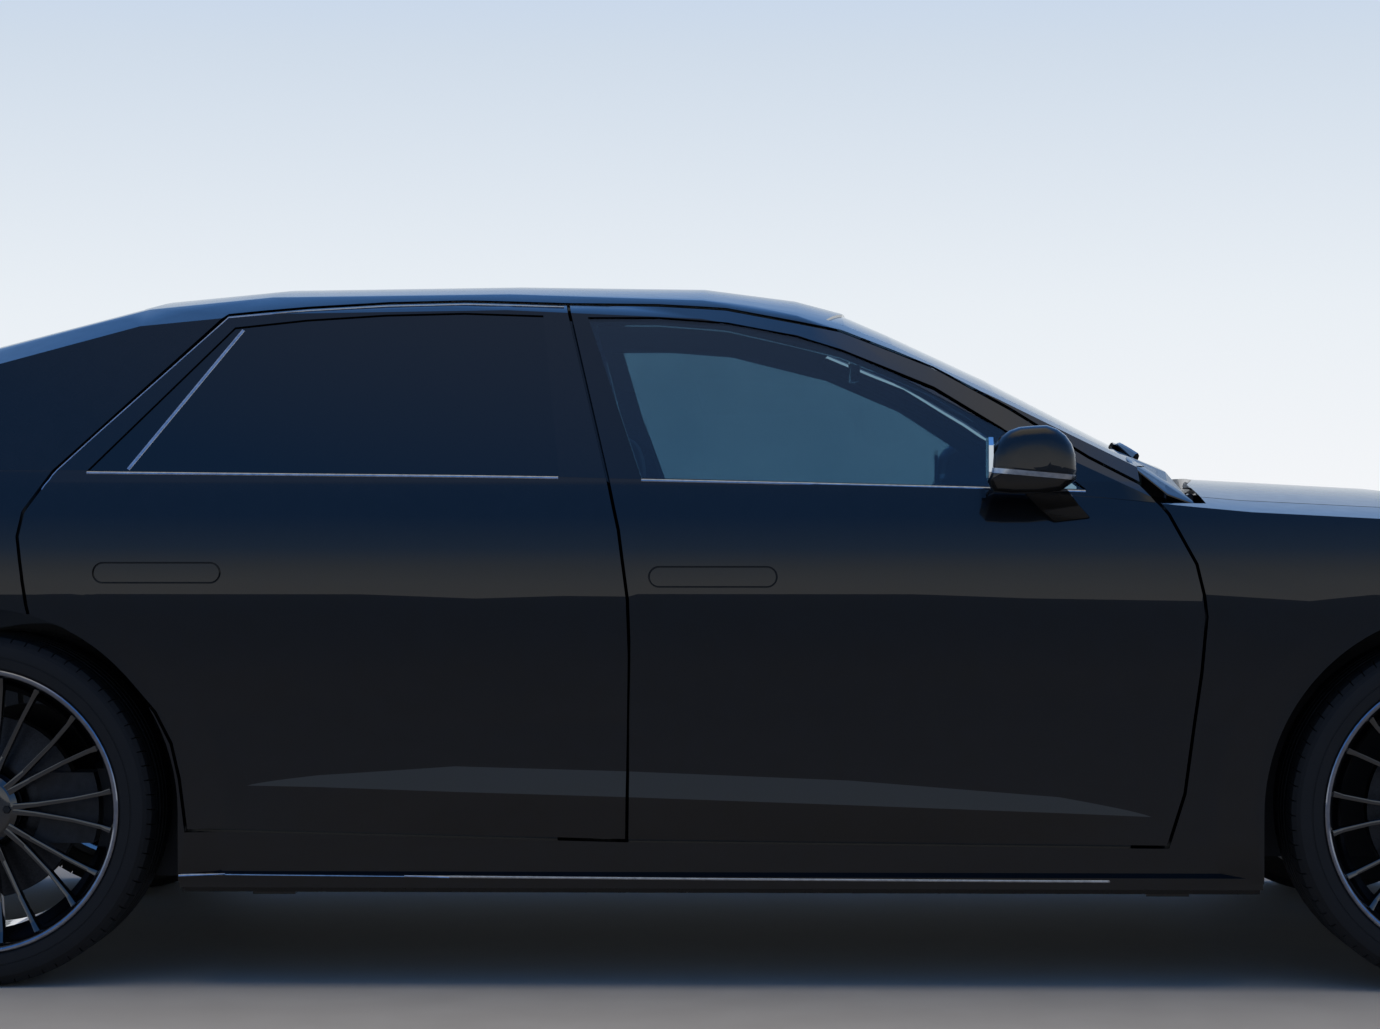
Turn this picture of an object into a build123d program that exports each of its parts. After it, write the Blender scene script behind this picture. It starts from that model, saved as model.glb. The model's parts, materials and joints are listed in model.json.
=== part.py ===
"""Full-size four-door sedan: body panels, doors, lids, glass, cabin pieces and running gear.

Frame: +X forward, +Y left, +Z up, millimetres, origin on the ground below the middle of the car.
Each sub-part has its own function, and the left side is built once and mirrored.
"""

import math
import os
from collections import namedtuple
from functools import cache

from build123d import *

# Driving dimensions
LENGTH = 5302.0
WHEELBASE = 3128.0
FRONT_OVERHANG = 989.0
FLARE_HALF_WIDTH = 972.0
GROUND_CLEARANCE = 200.0
TYRE_RADIUS = 372.0
TYRE_WIDTH = 265.0
WHEEL_PLANE_Y = 824.0
ARCH_RADIUS = 430.0

# Panel build-up
DOOR_SKIN = 28.0
LID_SKIN = 35.0
FENDER_SKIN = 14.0
BUMPER_SKIN = 60.0
PILLAR_DEPTH = 75.0
ROOF_DEPTH = 50.0
SHUT_GAP = 7.0
RECESS_CLEARANCE = 6.0
DOOR_INNER_Y = 820.0
CABIN_HALF_WIDTH = 800.0
FLOOR_TOP = 262.0
GLASS_THICKNESS = 6.0
GLASS_SETBACK = 5.0

# Door hinges: the axis lies behind the door's front edge and under its widest line
HINGE_BEHIND_EDGE = 75.0
HINGE_BELOW_CREST = 15.5
HINGE_GROOVE_RADIUS = 82.0
HINGE_HEIGHTS = (650.0, 880.0)

# Lid hinges
LID_HINGE_BEHIND_EDGE = 60.0
LID_SWING_RADIUS = 80.0
BONNET_HINGE_Y = 600.0
BONNET_HINGE_Z = 1034.0
BOOT_HINGE_Y = 300.0
BOOT_HINGE_Z = 1114.0
BOOT_FRONT_GAP = 12.0

# Pins, eyes and lugs of all hinges
PIN_RADIUS = 3.5
EYE_RADIUS = 6.0
EYE_HALF_LENGTH = 14.0
LUG_THICKNESS = 9.0
LUG_HALF_WIDTH = 7.0
LUG_ROOT = 15.0
PIN_CLEARANCE = 0.3
LUG_CLEARANCE = 1.5
POCKET_HALF_LENGTH = 26.0
EYE_ARM = 40.0

# Places along the car
NOSE = LENGTH / 2
TAIL = -LENGTH / 2
FRONT_AXLE = NOSE - FRONT_OVERHANG
REAR_AXLE = FRONT_AXLE - WHEELBASE

# Plan outlines of the lower body, from the sill up: how far each lies in from the sides and ends
Waterline = namedtuple("Waterline", "z half_width front_setback rear_setback")
WATERLINES = (
    Waterline(GROUND_CLEARANCE, 915, 90, 110),
    Waterline(240, 934, 40, 60),
    Waterline(320, 938, 12, 30),
    Waterline(560, 940, 0, 8),
    Waterline(680, 948, 4, 2),
    Waterline(790, 952, 22, 0),
    Waterline(900, 945, 55, 12),
    Waterline(1012, 925, 95, 30),
    Waterline(1100, 878, 120, 45),
    Waterline(1170, 790, 150, 70),
)
FRONT_SWEEP = 330.0
FRONT_CORNER = 600.0
REAR_SWEEP = 230.0
REAR_CORNER = 480.0

# Top surface of the lower body: height on the centre line, and how far it falls a metre out
Deck = namedtuple("Deck", "x centre_z edge_drop")
DECK_HALF_WIDTH = 1000.0
DECK = (
    Deck(NOSE + 60, 640, 60),
    Deck(NOSE - 40, 790, 70),
    Deck(NOSE - 150, 868, 75),
    Deck(NOSE - 400, 950, 80),
    Deck(NOSE - 700, 1012, 82),
    Deck(1600, 1053, 82),
    Deck(1213, 1074, 84),
    Deck(900, 1102, 84),
    Deck(615, 1119, 82),
    Deck(-300, 1140, 80),
    Deck(-1248, 1152, 80),
    Deck(-1900, 1152, 80),
    Deck(-2150, 1142, 78),
    Deck(-2350, 1130, 76),
    Deck(-2560, 1112, 74),
    Deck(TAIL - 60, 1098, 74),
)

# Roof, pillars and glass above the belt: crown, rail and top edge of the side glass
Arch = namedtuple("Arch", "x crown_z rail_y rail_z glass_z")
BELT_Z = 1080.0
BELT_Y = 888.0
TUMBLEHOME = math.tan(math.radians(27.0))
GREENHOUSE = (
    Arch(1190, 1052, 872, 985, 950),
    Arch(1003, 1156, 835, 1088, 1035),
    Arch(850, 1236, 800, 1165, 1108),
    Arch(697, 1317, 762, 1243, 1180),
    Arch(476, 1421, 704, 1350, 1300),
    Arch(371, 1467, 676, 1393, 1345),
    Arch(265, 1495, 652, 1428, 1383),
    Arch(56, 1522, 622, 1465, 1420),
    Arch(-368, 1527, 608, 1480, 1440),
    Arch(-893, 1520, 606, 1474, 1432),
    Arch(-1164, 1494, 612, 1447, 1405),
    Arch(-1573, 1391, 640, 1338, 1290),
    Arch(-1900, 1266, 672, 1210, 1165),
    Arch(-2240, 1118, 700, 1066, 1025),
)
GREENHOUSE_FOOT_Z = 1030.0
GREENHOUSE_FOOT_Y = 912.0

# Wheel arches
FLARE_ROOT_Y = 935.0
FLARE_ROOT_RADIUS = 530.0
FLARE_SKIRT_Y = 880.0
FLARE_SKIRT_RADIUS = 640.0
FLARE_TIP_RADIUS = 448.0
FLARE_FOOT_Z = 228.0
FRONT_WELL_Y = 475.0
REAR_WELL_Y = 640.0
HOUSING_WALL = 15.0

# The facet low on the doors, which grows out of the side and fades again: its top edge and its crest
Blade = namedtuple("Blade", "x top_z crest_z crest_y")
BLADE = (
    Blade(-1000, 432, 428, 934),
    Blade(-745, 459, 424, 946),
    Blade(-457, 482, 415, 951),
    Blade(-102, 472, 405, 951),
    Blade(371, 452, 389, 951),
    Blade(810, 416, 373, 947),
    Blade(1100, 366, 360, 934),
)
BLADE_FOOT_Z = 300.0
BLADE_ROOT_Y = 936.0
SKIRT_LIP = ((900, 214), (955, 214), (956, 238), (934, 246), (900, 246))

# Shut lines of the doors and edges of the side glass, seen from the side
DOOR_FRONT_OUTLINE = (
    (-96, 312), (1037, 301), (1072, 413), (1106, 666), (1116, 783), (1111, 829), (1096, 893),
    (1040, 998), (985, 1062), (880, 1118), (720, 1222), (560, 1314), (360, 1395), (110, 1444),
    (-40, 1453), (-236, 1455), (-137, 1067), (-114, 965), (-94, 818), (-90, 700), (-92, 560),
)
DOOR_REAR_OUTLINE = (
    (-1019, 334), (-96, 312), (-92, 560), (-90, 700), (-94, 818), (-114, 965), (-137, 1067),
    (-236, 1455), (-460, 1462), (-631, 1458), (-803, 1447), (-975, 1430), (-1318, 1088),
    (-1373, 1001), (-1383, 950), (-1370, 861), (-1349, 779), (-1280, 757), (-1215, 717),
    (-1149, 658), (-1084, 583), (-1050, 517), (-1033, 444),
)
GLASS_FRONT_OUTLINE = (
    (-67, 1074), (615, 1057), (870, 1050), (697, 1182), (558, 1270), (360, 1352), (261, 1383),
    (113, 1412), (-37, 1424), (-190, 1424),
)
GLASS_REAR_OUTLINE = (
    (-1246, 1090), (-450, 1082), (-241, 1079), (-287, 1428), (-459, 1434), (-631, 1430),
    (-803, 1419), (-957, 1402),
)
OPENING_FRONT = (
    (-30, 425), (955, 410), (1030, 640), (1042, 800), (1005, 930), (905, 1035), (690, 1165),
    (550, 1254), (357, 1336), (112, 1396), (-40, 1408), (-172, 1408), (-75, 1060), (-30, 800),
)
OPENING_REAR = (
    (-950, 432), (-200, 425), (-200, 1060), (-303, 1412), (-459, 1418), (-631, 1414),
    (-803, 1403), (-945, 1388), (-1218, 1096), (-1290, 1000), (-1290, 900), (-1200, 810),
    (-1060, 690), (-975, 560),
)

# Edges of the lids and of the screens, seen from above
BONNET_OUTLINE = (
    (NOSE - 118, 0), (NOSE - 150, 380), (NOSE - 262, 610), (NOSE - 420, 700), (1500, 752),
    (1062, 758), (1120, 560), (1172, 280), (1186, 0),
)
BOOT_LID_FRONT = -2172.0
BOOT_LID_HALF_WIDTH = 660.0
BOOT_LID_BOTTOM = 783.0
SCREEN_OUTLINE = (
    (1128, 0), (1105, 300), (1040, 560), (945, 742), (640, 672), (330, 572), (372, 300), (388, 0),
)
REAR_SCREEN_OUTLINE = (
    (-2118, 0), (-2095, 300), (-2010, 590), (-1600, 570), (-1190, 520), (-1242, 280), (-1256, 0),
)

# Handles
HANDLE_LENGTH = 264.0
HANDLE_HEIGHT = 38.0
HANDLE_GAP = 4.0
HANDLE_DEPTH = 16.0
HANDLE_FRONT_X = 85.0
HANDLE_FRONT_Z = 866.0
HANDLE_REAR_X = -1086.0
HANDLE_REAR_Z = 874.0

# Grille
GRILLE_HALF_WIDTH = 430.0
GRILLE_FOOT = 380.0
GRILLE_TOP = 690.0
GRILLE_BORDER = 12.0
SLAT_ROWS = 9
SLAT = 10.0
RIB_BAYS = 3
RIB = 8.0

# Wheels
RIM_RADIUS = 301.0
SPOKE_PAIRS = 10
DISC_RADIUS = 195.0
STEER_AXIS_INBOARD = 30.0
SPINDLE_RADIUS = 30.0
ARM_TOP = 226.0
BALL_END = 13.0

# Cabin: side profiles in x and z, seats about the middle of their cushion
COLUMN_RADIUS = 28.0
SEAT_X = 190.0
SEAT_Y = 385.0
SEAT_CUSHION = (
    (-240, 60), (230, 85), (270, 120), (275, 165), (230, 190), (60, 172), (-180, 140), (-240, 150),
)
SEAT_BACK = (
    (-260, 100), (-170, 120), (-185, 300), (-235, 480), (-325, 720), (-370, 742), (-415, 705),
    (-400, 560), (-330, 330), (-290, 200),
)
SEAT_HEAD = ((-338, 780), (-296, 800), (-306, 890), (-345, 922), (-395, 900), (-408, 800))
SEAT_FRONT_VIEW = (
    (-255, 0), (255, 0), (258, 300), (240, 520), (190, 720), (140, 760), (130, 780), (135, 900),
    (110, 930), (-110, 930), (-135, 900), (-130, 780), (-140, 760), (-190, 720), (-240, 520), (-258, 300),
)
BENCH_PROFILE = (
    (-490, FLOOR_TOP), (-470, 380), (-485, 440), (-530, 462), (-880, 425), (-925, 470), (-1010, 720),
    (-1070, 905), (-1110, 925), (-1146, 900), (-1146, FLOOR_TOP),
)
BENCH_HEAD = ((-1062, 900), (-1040, 960), (-1060, 1040), (-1100, 1056), (-1138, 1030), (-1140, 900))
DASH_PROFILE = (
    (1004, 690), (1004, 975), (900, 1000), (760, 985), (716, 950), (702, 880), (735, 800), (820, 720),
)
HOOD_PROFILE = ((700, 935), (690, 985), (722, 1012), (800, 1004), (840, 950))
CONSOLE_PROFILE = (
    (-120, FLOOR_TOP), (-120, 545), (40, 560), (330, 515), (600, 545), (720, 720), (760, 860), (860, 860),
    (860, FLOOR_TOP),
)

# Engine and what carries it
ENGINE_REAR = 1380.0
ENGINE_FRONT = 1980.0
ENGINE_HALF_WIDTH = 300.0
ENGINE_FOOT = 420.0
ENGINE_TOP = 900.0
FRONT_BODY_FOOT = 230.0
BOOT_FLOOR_FOOT = 410.0

# Seams between fixed panels
ROOF_SEAM_Y = 585.0
BUMPER_SPLIT = 2150.0
REAR_SPLIT = -1960.0
SCREEN_FOOT_Z = 1040.0
FENDER_EDGE_Y = 700.0
COWL_FLOOR = 955.0
COWL_FRONT = 1240.0
COWL_LIP = 10.0

# Where other things fasten: jack pads, towing eyes and the rear number plate's seat
JACK_PAD_FROM_AXLE = 620.0
JACK_PAD_Y = 860.0
JACK_PAD_Z = 192.0
JACK_PAD_HALF_LENGTH = 45.0
JACK_PAD_HALF_WIDTH = 30.0
TOW_Y = -480.0
TOW_FRONT_X = 2545.0
TOW_FRONT_Z = 500.0
TOW_REAR_X = -2550.0
TOW_REAR_Z = 430.0
TOW_THREAD_RADIUS = 9.0
TOW_THREAD_LENGTH = 40.0
TOW_BOSS_RADIUS = 26.0
PLATE_SEAT_X = -2618.0
PLATE_HALF_WIDTH = 265.0
PLATE_FOOT = 565.0
PLATE_TOP = 690.0
PLATE_HOLE_Z = 660.0
PLATE_HOLE_SPACING = 178.0
PLATE_HOLE_RADIUS = 3.2
PLATE_HOLE_DEPTH = 18.0

# Doors
DOOR_CREST_Y = 952.0
DOOR_BOX_TOP = 1045.0
HEM_THICKNESS = 10.0
HEM_STEP = 9.0
GLASS_FOOT_Z = 1046.0


def box(x0, x1, y0, y1, z0, z1):
    """A block between two corners."""
    middle = Location(((x0 + x1) / 2, (y0 + y1) / 2, (z0 + z1) / 2))
    return middle * Box(x1 - x0, y1 - y0, z1 - z0)


def polyline_wire(points):
    """A closed wire through 3-D points."""
    ends = points[1:] + points[:1]
    return Wire([Edge.make_line(a, b) for a, b in zip(points, ends)])


def offset_outline(points, distance):
    """The outline with every side moved inwards by distance (outwards where it is negative)."""
    count = len(points)
    area = sum(points[i][0] * points[(i + 1) % count][1] - points[(i + 1) % count][0] * points[i][1]
               for i in range(count))
    turn = 1.0 if area > 0 else -1.0
    moved = []
    for i in range(count):
        (ax, ay), (bx, by), (cx, cy) = points[i - 1], points[i], points[(i + 1) % count]
        first = math.hypot(bx - ax, by - ay)
        second = math.hypot(cx - bx, cy - by)
        n1 = (-(by - ay) / first * turn, (bx - ax) / first * turn)
        n2 = (-(cy - by) / second * turn, (cx - bx) / second * turn)
        scale = distance / (1 + n1[0] * n2[0] + n1[1] * n2[1])
        moved.append((bx + (n1[0] + n2[0]) * scale, by + (n1[1] + n2[1]) * scale))
    return moved


def side_prism(points, y_outer, y_inner, inset_outer=0.0, inset_inner=0.0):
    """A prism across the car, its outline inset by its own amount at each end."""
    outer = [(x, y_outer, z) for x, z in offset_outline(points, inset_outer)]
    inner = [(x, y_inner, z) for x, z in offset_outline(points, inset_inner)]
    return Solid.make_loft([polyline_wire(outer), polyline_wire(inner)], ruled=True)


def plan_prism(half_outline, z_low, z_high, inset=0.0):
    """An upright prism over an outline that is given for the left side and mirrored."""
    left = list(half_outline)
    right = [(x, -y) for x, y in reversed(left[1:-1])]
    flat = offset_outline(left + right, inset)
    low = [(x, y, z_low) for x, y in flat]
    return extrude(Face(polyline_wire(low)), z_high - z_low, dir=(0, 0, 1))


def waterline_wire(row, inset):
    """Plan outline of the body: bowed ends, straight sides and four round corners."""
    half = row.half_width - inset
    front = NOSE - row.front_setback - inset
    rear = TAIL + row.rear_setback + inset
    edges = []
    nose = corner_points(front, half, FRONT_SWEEP, FRONT_CORNER - inset, 1)
    tail = corner_points(rear, half, REAR_SWEEP, REAR_CORNER - inset, -1)
    (nx, ny), (nmx, nmy), sx = nose
    (tx, ty), (tmx, tmy), ex = tail
    z = row.z
    edges.append(Edge.make_three_point_arc((nx, ny, z), (front, 0, z), (nx, -ny, z)))
    edges.append(Edge.make_three_point_arc((nx, -ny, z), (nmx, -nmy, z), (sx, -half, z)))
    edges.append(Edge.make_line((sx, -half, z), (ex, -half, z)))
    edges.append(Edge.make_three_point_arc((ex, -half, z), (tmx, -tmy, z), (tx, -ty, z)))
    edges.append(Edge.make_three_point_arc((tx, -ty, z), (rear, 0, z), (tx, ty, z)))
    edges.append(Edge.make_three_point_arc((tx, ty, z), (tmx, tmy, z), (ex, half, z)))
    edges.append(Edge.make_line((ex, half, z), (sx, half, z)))
    edges.append(Edge.make_three_point_arc((sx, half, z), (nmx, nmy, z), (nx, ny, z)))
    return Wire(edges)


def corner_points(end, half, sweep, radius, way):
    """Where a corner arc leaves the bowed end, its middle, and where it joins the side."""
    bow = (half * half + sweep * sweep) / (2 * sweep)
    centre = end - way * bow
    reach = math.sqrt((bow - radius) ** 2 - (half - radius) ** 2)
    arc_x = centre + way * reach
    arc_y = half - radius
    angle = math.atan2(arc_y, reach)
    start = (centre + way * bow * math.cos(angle), bow * math.sin(angle))
    middle = (angle + math.pi / 2) / 2
    mid = (arc_x + way * radius * math.cos(middle), arc_y + radius * math.sin(middle))
    return start, mid, arc_x


def lower_body(inset=0.0):
    """The body below the belt, closed by the deck surface."""
    hull = Solid.make_loft([waterline_wire(row, inset) for row in WATERLINES], ruled=True)
    sections = []
    for row in DECK:
        centre = row.centre_z - inset
        edge = centre - row.edge_drop
        low = GROUND_CLEARANCE - 100
        half = DECK_HALF_WIDTH
        sections.append(Wire([
            Edge.make_line((row.x, -half, low), (row.x, half, low)),
            Edge.make_line((row.x, half, low), (row.x, half, edge)),
            Edge.make_three_point_arc((row.x, half, edge), (row.x, 0, centre), (row.x, -half, edge)),
            Edge.make_line((row.x, -half, edge), (row.x, -half, low)),
        ]))
    return hull & Solid.make_loft(sections, ruled=True)


def side_glass_y(z):
    """Half width of the sloping side at a height, kept inside the lower body at its foot."""
    return min(BELT_Y - (z - BELT_Z) * TUMBLEHOME, GREENHOUSE_FOOT_Y)


def greenhouse(side_inset=0.0, top_inset=0.0):
    """Pillars, glass and roof as one closed form."""
    sections = []
    for row in GREENHOUSE:
        x = row.x
        glass_z = row.glass_z - top_inset * 0.5
        foot_z = min(GREENHOUSE_FOOT_Z, glass_z - 40)
        foot = (x, side_glass_y(foot_z) - side_inset, foot_z)
        glass = (x, side_glass_y(glass_z) - side_inset, glass_z)
        rail = (x, row.rail_y - side_inset * 0.8, row.rail_z - top_inset)
        crown = (x, 0, row.crown_z - top_inset)
        right = [(x, -y, z) for x, y, z in (rail, glass, foot)]
        sections.append(Wire([
            Edge.make_line(foot, glass),
            Edge.make_line(glass, rail),
            Edge.make_three_point_arc(rail, crown, right[0]),
            Edge.make_line(right[0], right[1]),
            Edge.make_line(right[1], right[2]),
            Edge.make_line(right[2], foot),
        ]))
    return Solid.make_loft(sections, ruled=True)


def left_half(shape):
    """The part of a shape on the left of the centre plane."""
    return shape & box(TAIL - 100, NOSE + 100, 0, 1100, 0, 1700)


@cache
def lower_half(inset=0.0):
    """The left half of the body below the belt."""
    return left_half(lower_body(inset))


@cache
def upper_half(inset=0.0):
    """The left half of the pillars, glass and roof."""
    return left_half(greenhouse(inset, inset))


def half_form(inset=0.0):
    """The left half of the closed outer form of the car, or the same form set in."""
    return lower_half(inset) + upper_half(inset)


def mirrored(shape):
    """The same shape on the other side of the car."""
    return shape.mirror(Plane.XZ)


def glass_layer():
    """The left half of the sheet that all the glass is cut from."""
    return upper_half(GLASS_SETBACK) - upper_half(GLASS_SETBACK + GLASS_THICKNESS)


def cylinder_y(x, z, radius, y0, y1):
    """A cylinder that lies across the car."""
    middle = Location((x, (y0 + y1) / 2, z), (90, 0, 0))
    return middle * Cylinder(radius, abs(y1 - y0))


def cylinder_z(x, y, radius, z0, z1):
    """An upright cylinder."""
    return Location((x, y, (z0 + z1) / 2)) * Cylinder(radius, z1 - z0)


def wheel_arch_flare(axle_x):
    """The raised lip round a wheel arch."""
    rise = FLARE_HALF_WIDTH - FLARE_ROOT_Y
    plane = Plane((axle_x, FLARE_ROOT_Y, TYRE_RADIUS), z_dir=(0, 1, 0))
    lip = Solid.make_cone(FLARE_ROOT_RADIUS, FLARE_TIP_RADIUS, rise, plane)
    skirt_plane = Plane((axle_x, FLARE_SKIRT_Y, TYRE_RADIUS), z_dir=(0, 1, 0))
    depth = FLARE_ROOT_Y - FLARE_SKIRT_Y
    skirt = Solid.make_cone(FLARE_SKIRT_RADIUS, FLARE_ROOT_RADIUS, depth, skirt_plane)
    return (lip + skirt) & box(axle_x - 700, axle_x + 700, 800, 1000, FLARE_FOOT_Z, 1000)


def sill_blade():
    """The fading facet along the foot of the doors and the lip under it."""
    sections = []
    for row in BLADE:
        profile = [(900, BLADE_FOOT_Z), (BLADE_ROOT_Y, BLADE_FOOT_Z), (row.crest_y, row.crest_z),
                   (BLADE_ROOT_Y, row.top_z), (900, row.top_z)]
        sections.append(polyline_wire([(row.x, y, z) for y, z in profile]))
    lip = polyline_wire([(REAR_AXLE, y, z) for y, z in SKIRT_LIP])
    return Solid.make_loft(sections, ruled=True) + extrude(Face(lip), WHEELBASE, dir=(1, 0, 0))


def wheel_wells():
    """Room for the left wheels, open to the side."""
    front = cylinder_y(FRONT_AXLE, TYRE_RADIUS, ARCH_RADIUS, FRONT_WELL_Y, 1000)
    front += box(FRONT_AXLE - ARCH_RADIUS, FRONT_AXLE + ARCH_RADIUS, FRONT_WELL_Y, 1000, 0, TYRE_RADIUS)
    rear = cylinder_y(REAR_AXLE, TYRE_RADIUS, ARCH_RADIUS, REAR_WELL_Y, 1000)
    rear += box(REAR_AXLE - ARCH_RADIUS, REAR_AXLE + ARCH_RADIUS, REAR_WELL_Y, 1000, 0, TYRE_RADIUS)
    return front + rear


def rear_housing(grow):
    """The left rear wheel well grown by a wall, as it stands up inside the cabin."""
    radius = ARCH_RADIUS + grow
    housing = cylinder_y(REAR_AXLE, TYRE_RADIUS, radius, REAR_WELL_Y - grow, 1000)
    return housing + box(REAR_AXLE - radius, REAR_AXLE + radius, REAR_WELL_Y - grow, 1000, 0, TYRE_RADIUS)


def door_parts(layers, outline, opening, glass_outline):
    """A left door and its glass: a hemmed skin, a thick lower box behind it and a window."""
    half_gap = SHUT_GAP / 2
    hem = layers["hem"] & side_prism(outline, 1010, 560, half_gap, half_gap)
    skin = layers["skin"] & side_prism(outline, 1010, 560, half_gap + HEM_STEP, half_gap + HEM_STEP)
    room = side_prism(opening, 940, 800, RECESS_CLEARANCE, RECESS_CLEARANCE + 14)
    thick = layers["core"] & room & box(-2000, 2000, DOOR_INNER_Y, 940, 330, DOOR_BOX_TOP)
    window = side_prism(glass_outline, 1010, 560)
    frame = hem + skin + thick - window
    pane = layers["pane"] & window & box(-2000, 2000, 500, 1010, GLASS_FOOT_Z, 1500)
    return frame, pane


def handle_groove(x, z):
    """The narrow gap round a flush door handle."""
    def slot(grow):
        half = HANDLE_LENGTH / 2 + grow
        radius = HANDLE_HEIGHT / 2 + grow
        run = half - radius
        bar = box(x - run, x + run, 900, 1000, z - radius, z + radius)
        return bar + cylinder_y(x - run, z, radius, 900, 1000) + cylinder_y(x + run, z, radius, 900, 1000)
    near = box(x - HANDLE_LENGTH, x + HANDLE_LENGTH, DOOR_CREST_Y - HANDLE_DEPTH, 1000, z - 60, z + 60)
    return (slot(HANDLE_GAP) - slot(0)) & near


def mirror():
    """The left door mirror: a rounded housing on a foot from the door's shoulder."""
    sections = []
    for y, grow in ((945, 0.62), (985, 0.92), (1030, 1.0), (1066, 0.86), (1080, 0.6)):
        cx, cz = 744, 1112
        low, high = cz - 60 * grow, cz + 72 * grow
        back, front = cx - 96 * grow, cx + 98 * grow
        sections.append(Wire([
            Edge.make_line((back, y, low + 8), (back, y, cz + 30 * grow)),
            Edge.make_three_point_arc((back, y, cz + 30 * grow), (cx - 30 * grow, y, high),
                                      (cx + 58 * grow, y, cz + 38 * grow)),
            Edge.make_three_point_arc((cx + 58 * grow, y, cz + 38 * grow), (front - 8 * grow, y, cz),
                                      (front, y, low + 14 * grow)),
            Edge.make_line((front, y, low + 14 * grow), (cx + 40 * grow, y, low)),
            Edge.make_line((cx + 40 * grow, y, low), (back, y, low + 8)),
        ]))
    housing = Solid.make_loft(sections, ruled=True)
    face = side_prism([(600, 1062), (656, 1062), (656, 1158), (600, 1158)], 1068, 958)
    foot_top = polyline_wire([(790, 960, 1062), (720, 960, 1062), (720, 1010, 1062), (790, 1010, 1062)])
    foot_end = polyline_wire([(868, 905, 992), (806, 905, 992), (806, 926, 992), (868, 926, 992)])
    foot = Solid.make_loft([foot_end, foot_top], ruled=True)
    return housing - face + foot


def spoke(angle_hub, angle_rim):
    """One tapering spoke from the hub to the rim, its ends at their own angles."""
    def corners(angle, radius, half_width, low, high):
        across = (-math.sin(angle), math.cos(angle))
        centre = (radius * math.cos(angle), radius * math.sin(angle))
        a = (centre[0] + across[0] * half_width, centre[1] + across[1] * half_width)
        b = (centre[0] - across[0] * half_width, centre[1] - across[1] * half_width)
        return [(a[0], low, a[1]), (b[0], low, b[1]), (b[0], high, b[1]), (a[0], high, a[1])]
    hub = polyline_wire(corners(angle_hub, 60, 9, 66, 92))
    rim = polyline_wire(corners(angle_rim, 286, 7, 84, 118))
    return Solid.make_loft([hub, rim], ruled=True)


def rim():
    """A wheel with its brake disc, about the origin with +Y outwards."""
    profile = [
        (301, -131), (301, -123), (288, -119), (283, -85), (262, -60), (262, 60), (283, 90),
        (288, 119), (301, 124), (301, 132), (292, 132), (282, 120), (274, 92), (253, 62),
        (253, -62), (275, -90), (281, -131),
    ]
    barrel = revolve(Face(polyline_wire([(r, y, 0) for r, y in profile])), Axis.Y)
    hub = cylinder_y(0, 0, 76, 58, 98) + cylinder_y(0, 0, 85, 24, 58)
    hub += cylinder_y(0, 0, DISC_RADIUS, -10, 24)
    pitch = 2 * math.pi / SPOKE_PAIRS
    spokes = []
    for i in range(SPOKE_PAIRS):
        spokes.append(spoke(pitch * (i - 0.10), pitch * (i - 0.24)))
        spokes.append(spoke(pitch * (i + 0.10), pitch * (i + 0.24)))
    wheel = barrel.fuse(hub, *spokes)
    return wheel - cylinder_y(0, 0, SPINDLE_RADIUS + PIN_CLEARANCE, -20, 50)


def tyre():
    """A low tyre, about the origin."""
    half = TYRE_WIDTH / 2
    profile = [
        (RIM_RADIUS + 0.5, half - 6), (352, half), (TYRE_RADIUS, half - 20), (TYRE_RADIUS, -half + 20),
        (352, -half), (RIM_RADIUS + 0.5, -half + 6),
    ]
    return revolve(Face(polyline_wire([(r, y, 0) for r, y in profile])), Axis.Y)


def knuckle():
    """Hub carrier, spindle and brake caliper, about the wheel centre with +Y outwards."""
    axis_y = -STEER_AXIS_INBOARD
    spindle = cylinder_y(0, 0, SPINDLE_RADIUS, axis_y - 20, 44)
    carrier = box(-55, 55, axis_y - 40, axis_y, -135, 150)
    arm = box(-150, -40, axis_y - 40, axis_y - 10, -60, -25)
    mount = box(40, 120, axis_y - 40, axis_y - 5, -60, 60)
    caliper = cylinder_y(0, 0, 243, axis_y - 10, 48) - cylinder_y(0, 0, 120, -100, 100)
    caliper &= box(90, 260, -100, 100, -75, 75)
    caliper -= cylinder_y(0, 0, DISC_RADIUS + 6, -16, 30)
    ball_pin = cylinder_z(0, axis_y, 8, ARM_TOP - TYRE_RADIUS + PIN_CLEARANCE, -130)
    return spindle + carrier + arm + mount + caliper + ball_pin


def place_wheel(shape, axle_x, side):
    """A left-hand wheel piece at its corner of the car."""
    put = Location((axle_x, WHEEL_PLANE_Y, TYRE_RADIUS)) * shape
    return put if side > 0 else mirrored(put)


def across(profile, y0, y1):
    """A side profile carried straight across the car."""
    return extrude(Face(polyline_wire([(x, y0, z) for x, z in profile])), y1 - y0, dir=(0, 1, 0))


def seat():
    """A front seat about its own middle, its rails' foot at z = 0."""
    half = 260
    cushion, back, head = [across(profile, -half, half) for profile in (SEAT_CUSHION, SEAT_BACK, SEAT_HEAD)]
    soft = cushion + back + head
    front = polyline_wire([(-500, y, z) for y, z in SEAT_FRONT_VIEW])
    soft &= extrude(Face(front), 1000, dir=(1, 0, 0))
    posts = box(-372, -356, -75, -60, 700, 820) + box(-372, -356, 60, 75, 700, 820)
    rails = box(-200, 220, -230, -200, 0, 90) + box(-200, 220, 200, 230, 0, 90)
    return soft + posts + rails


def save(shape, name):
    """One node, as one STEP file."""
    export_step(shape, os.path.join("parts", name + ".step"))


def both_sides(shape, name):
    """A left piece and its mirror image."""
    save(shape, name + "_left")
    save(mirrored(shape), name + "_right")


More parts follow.
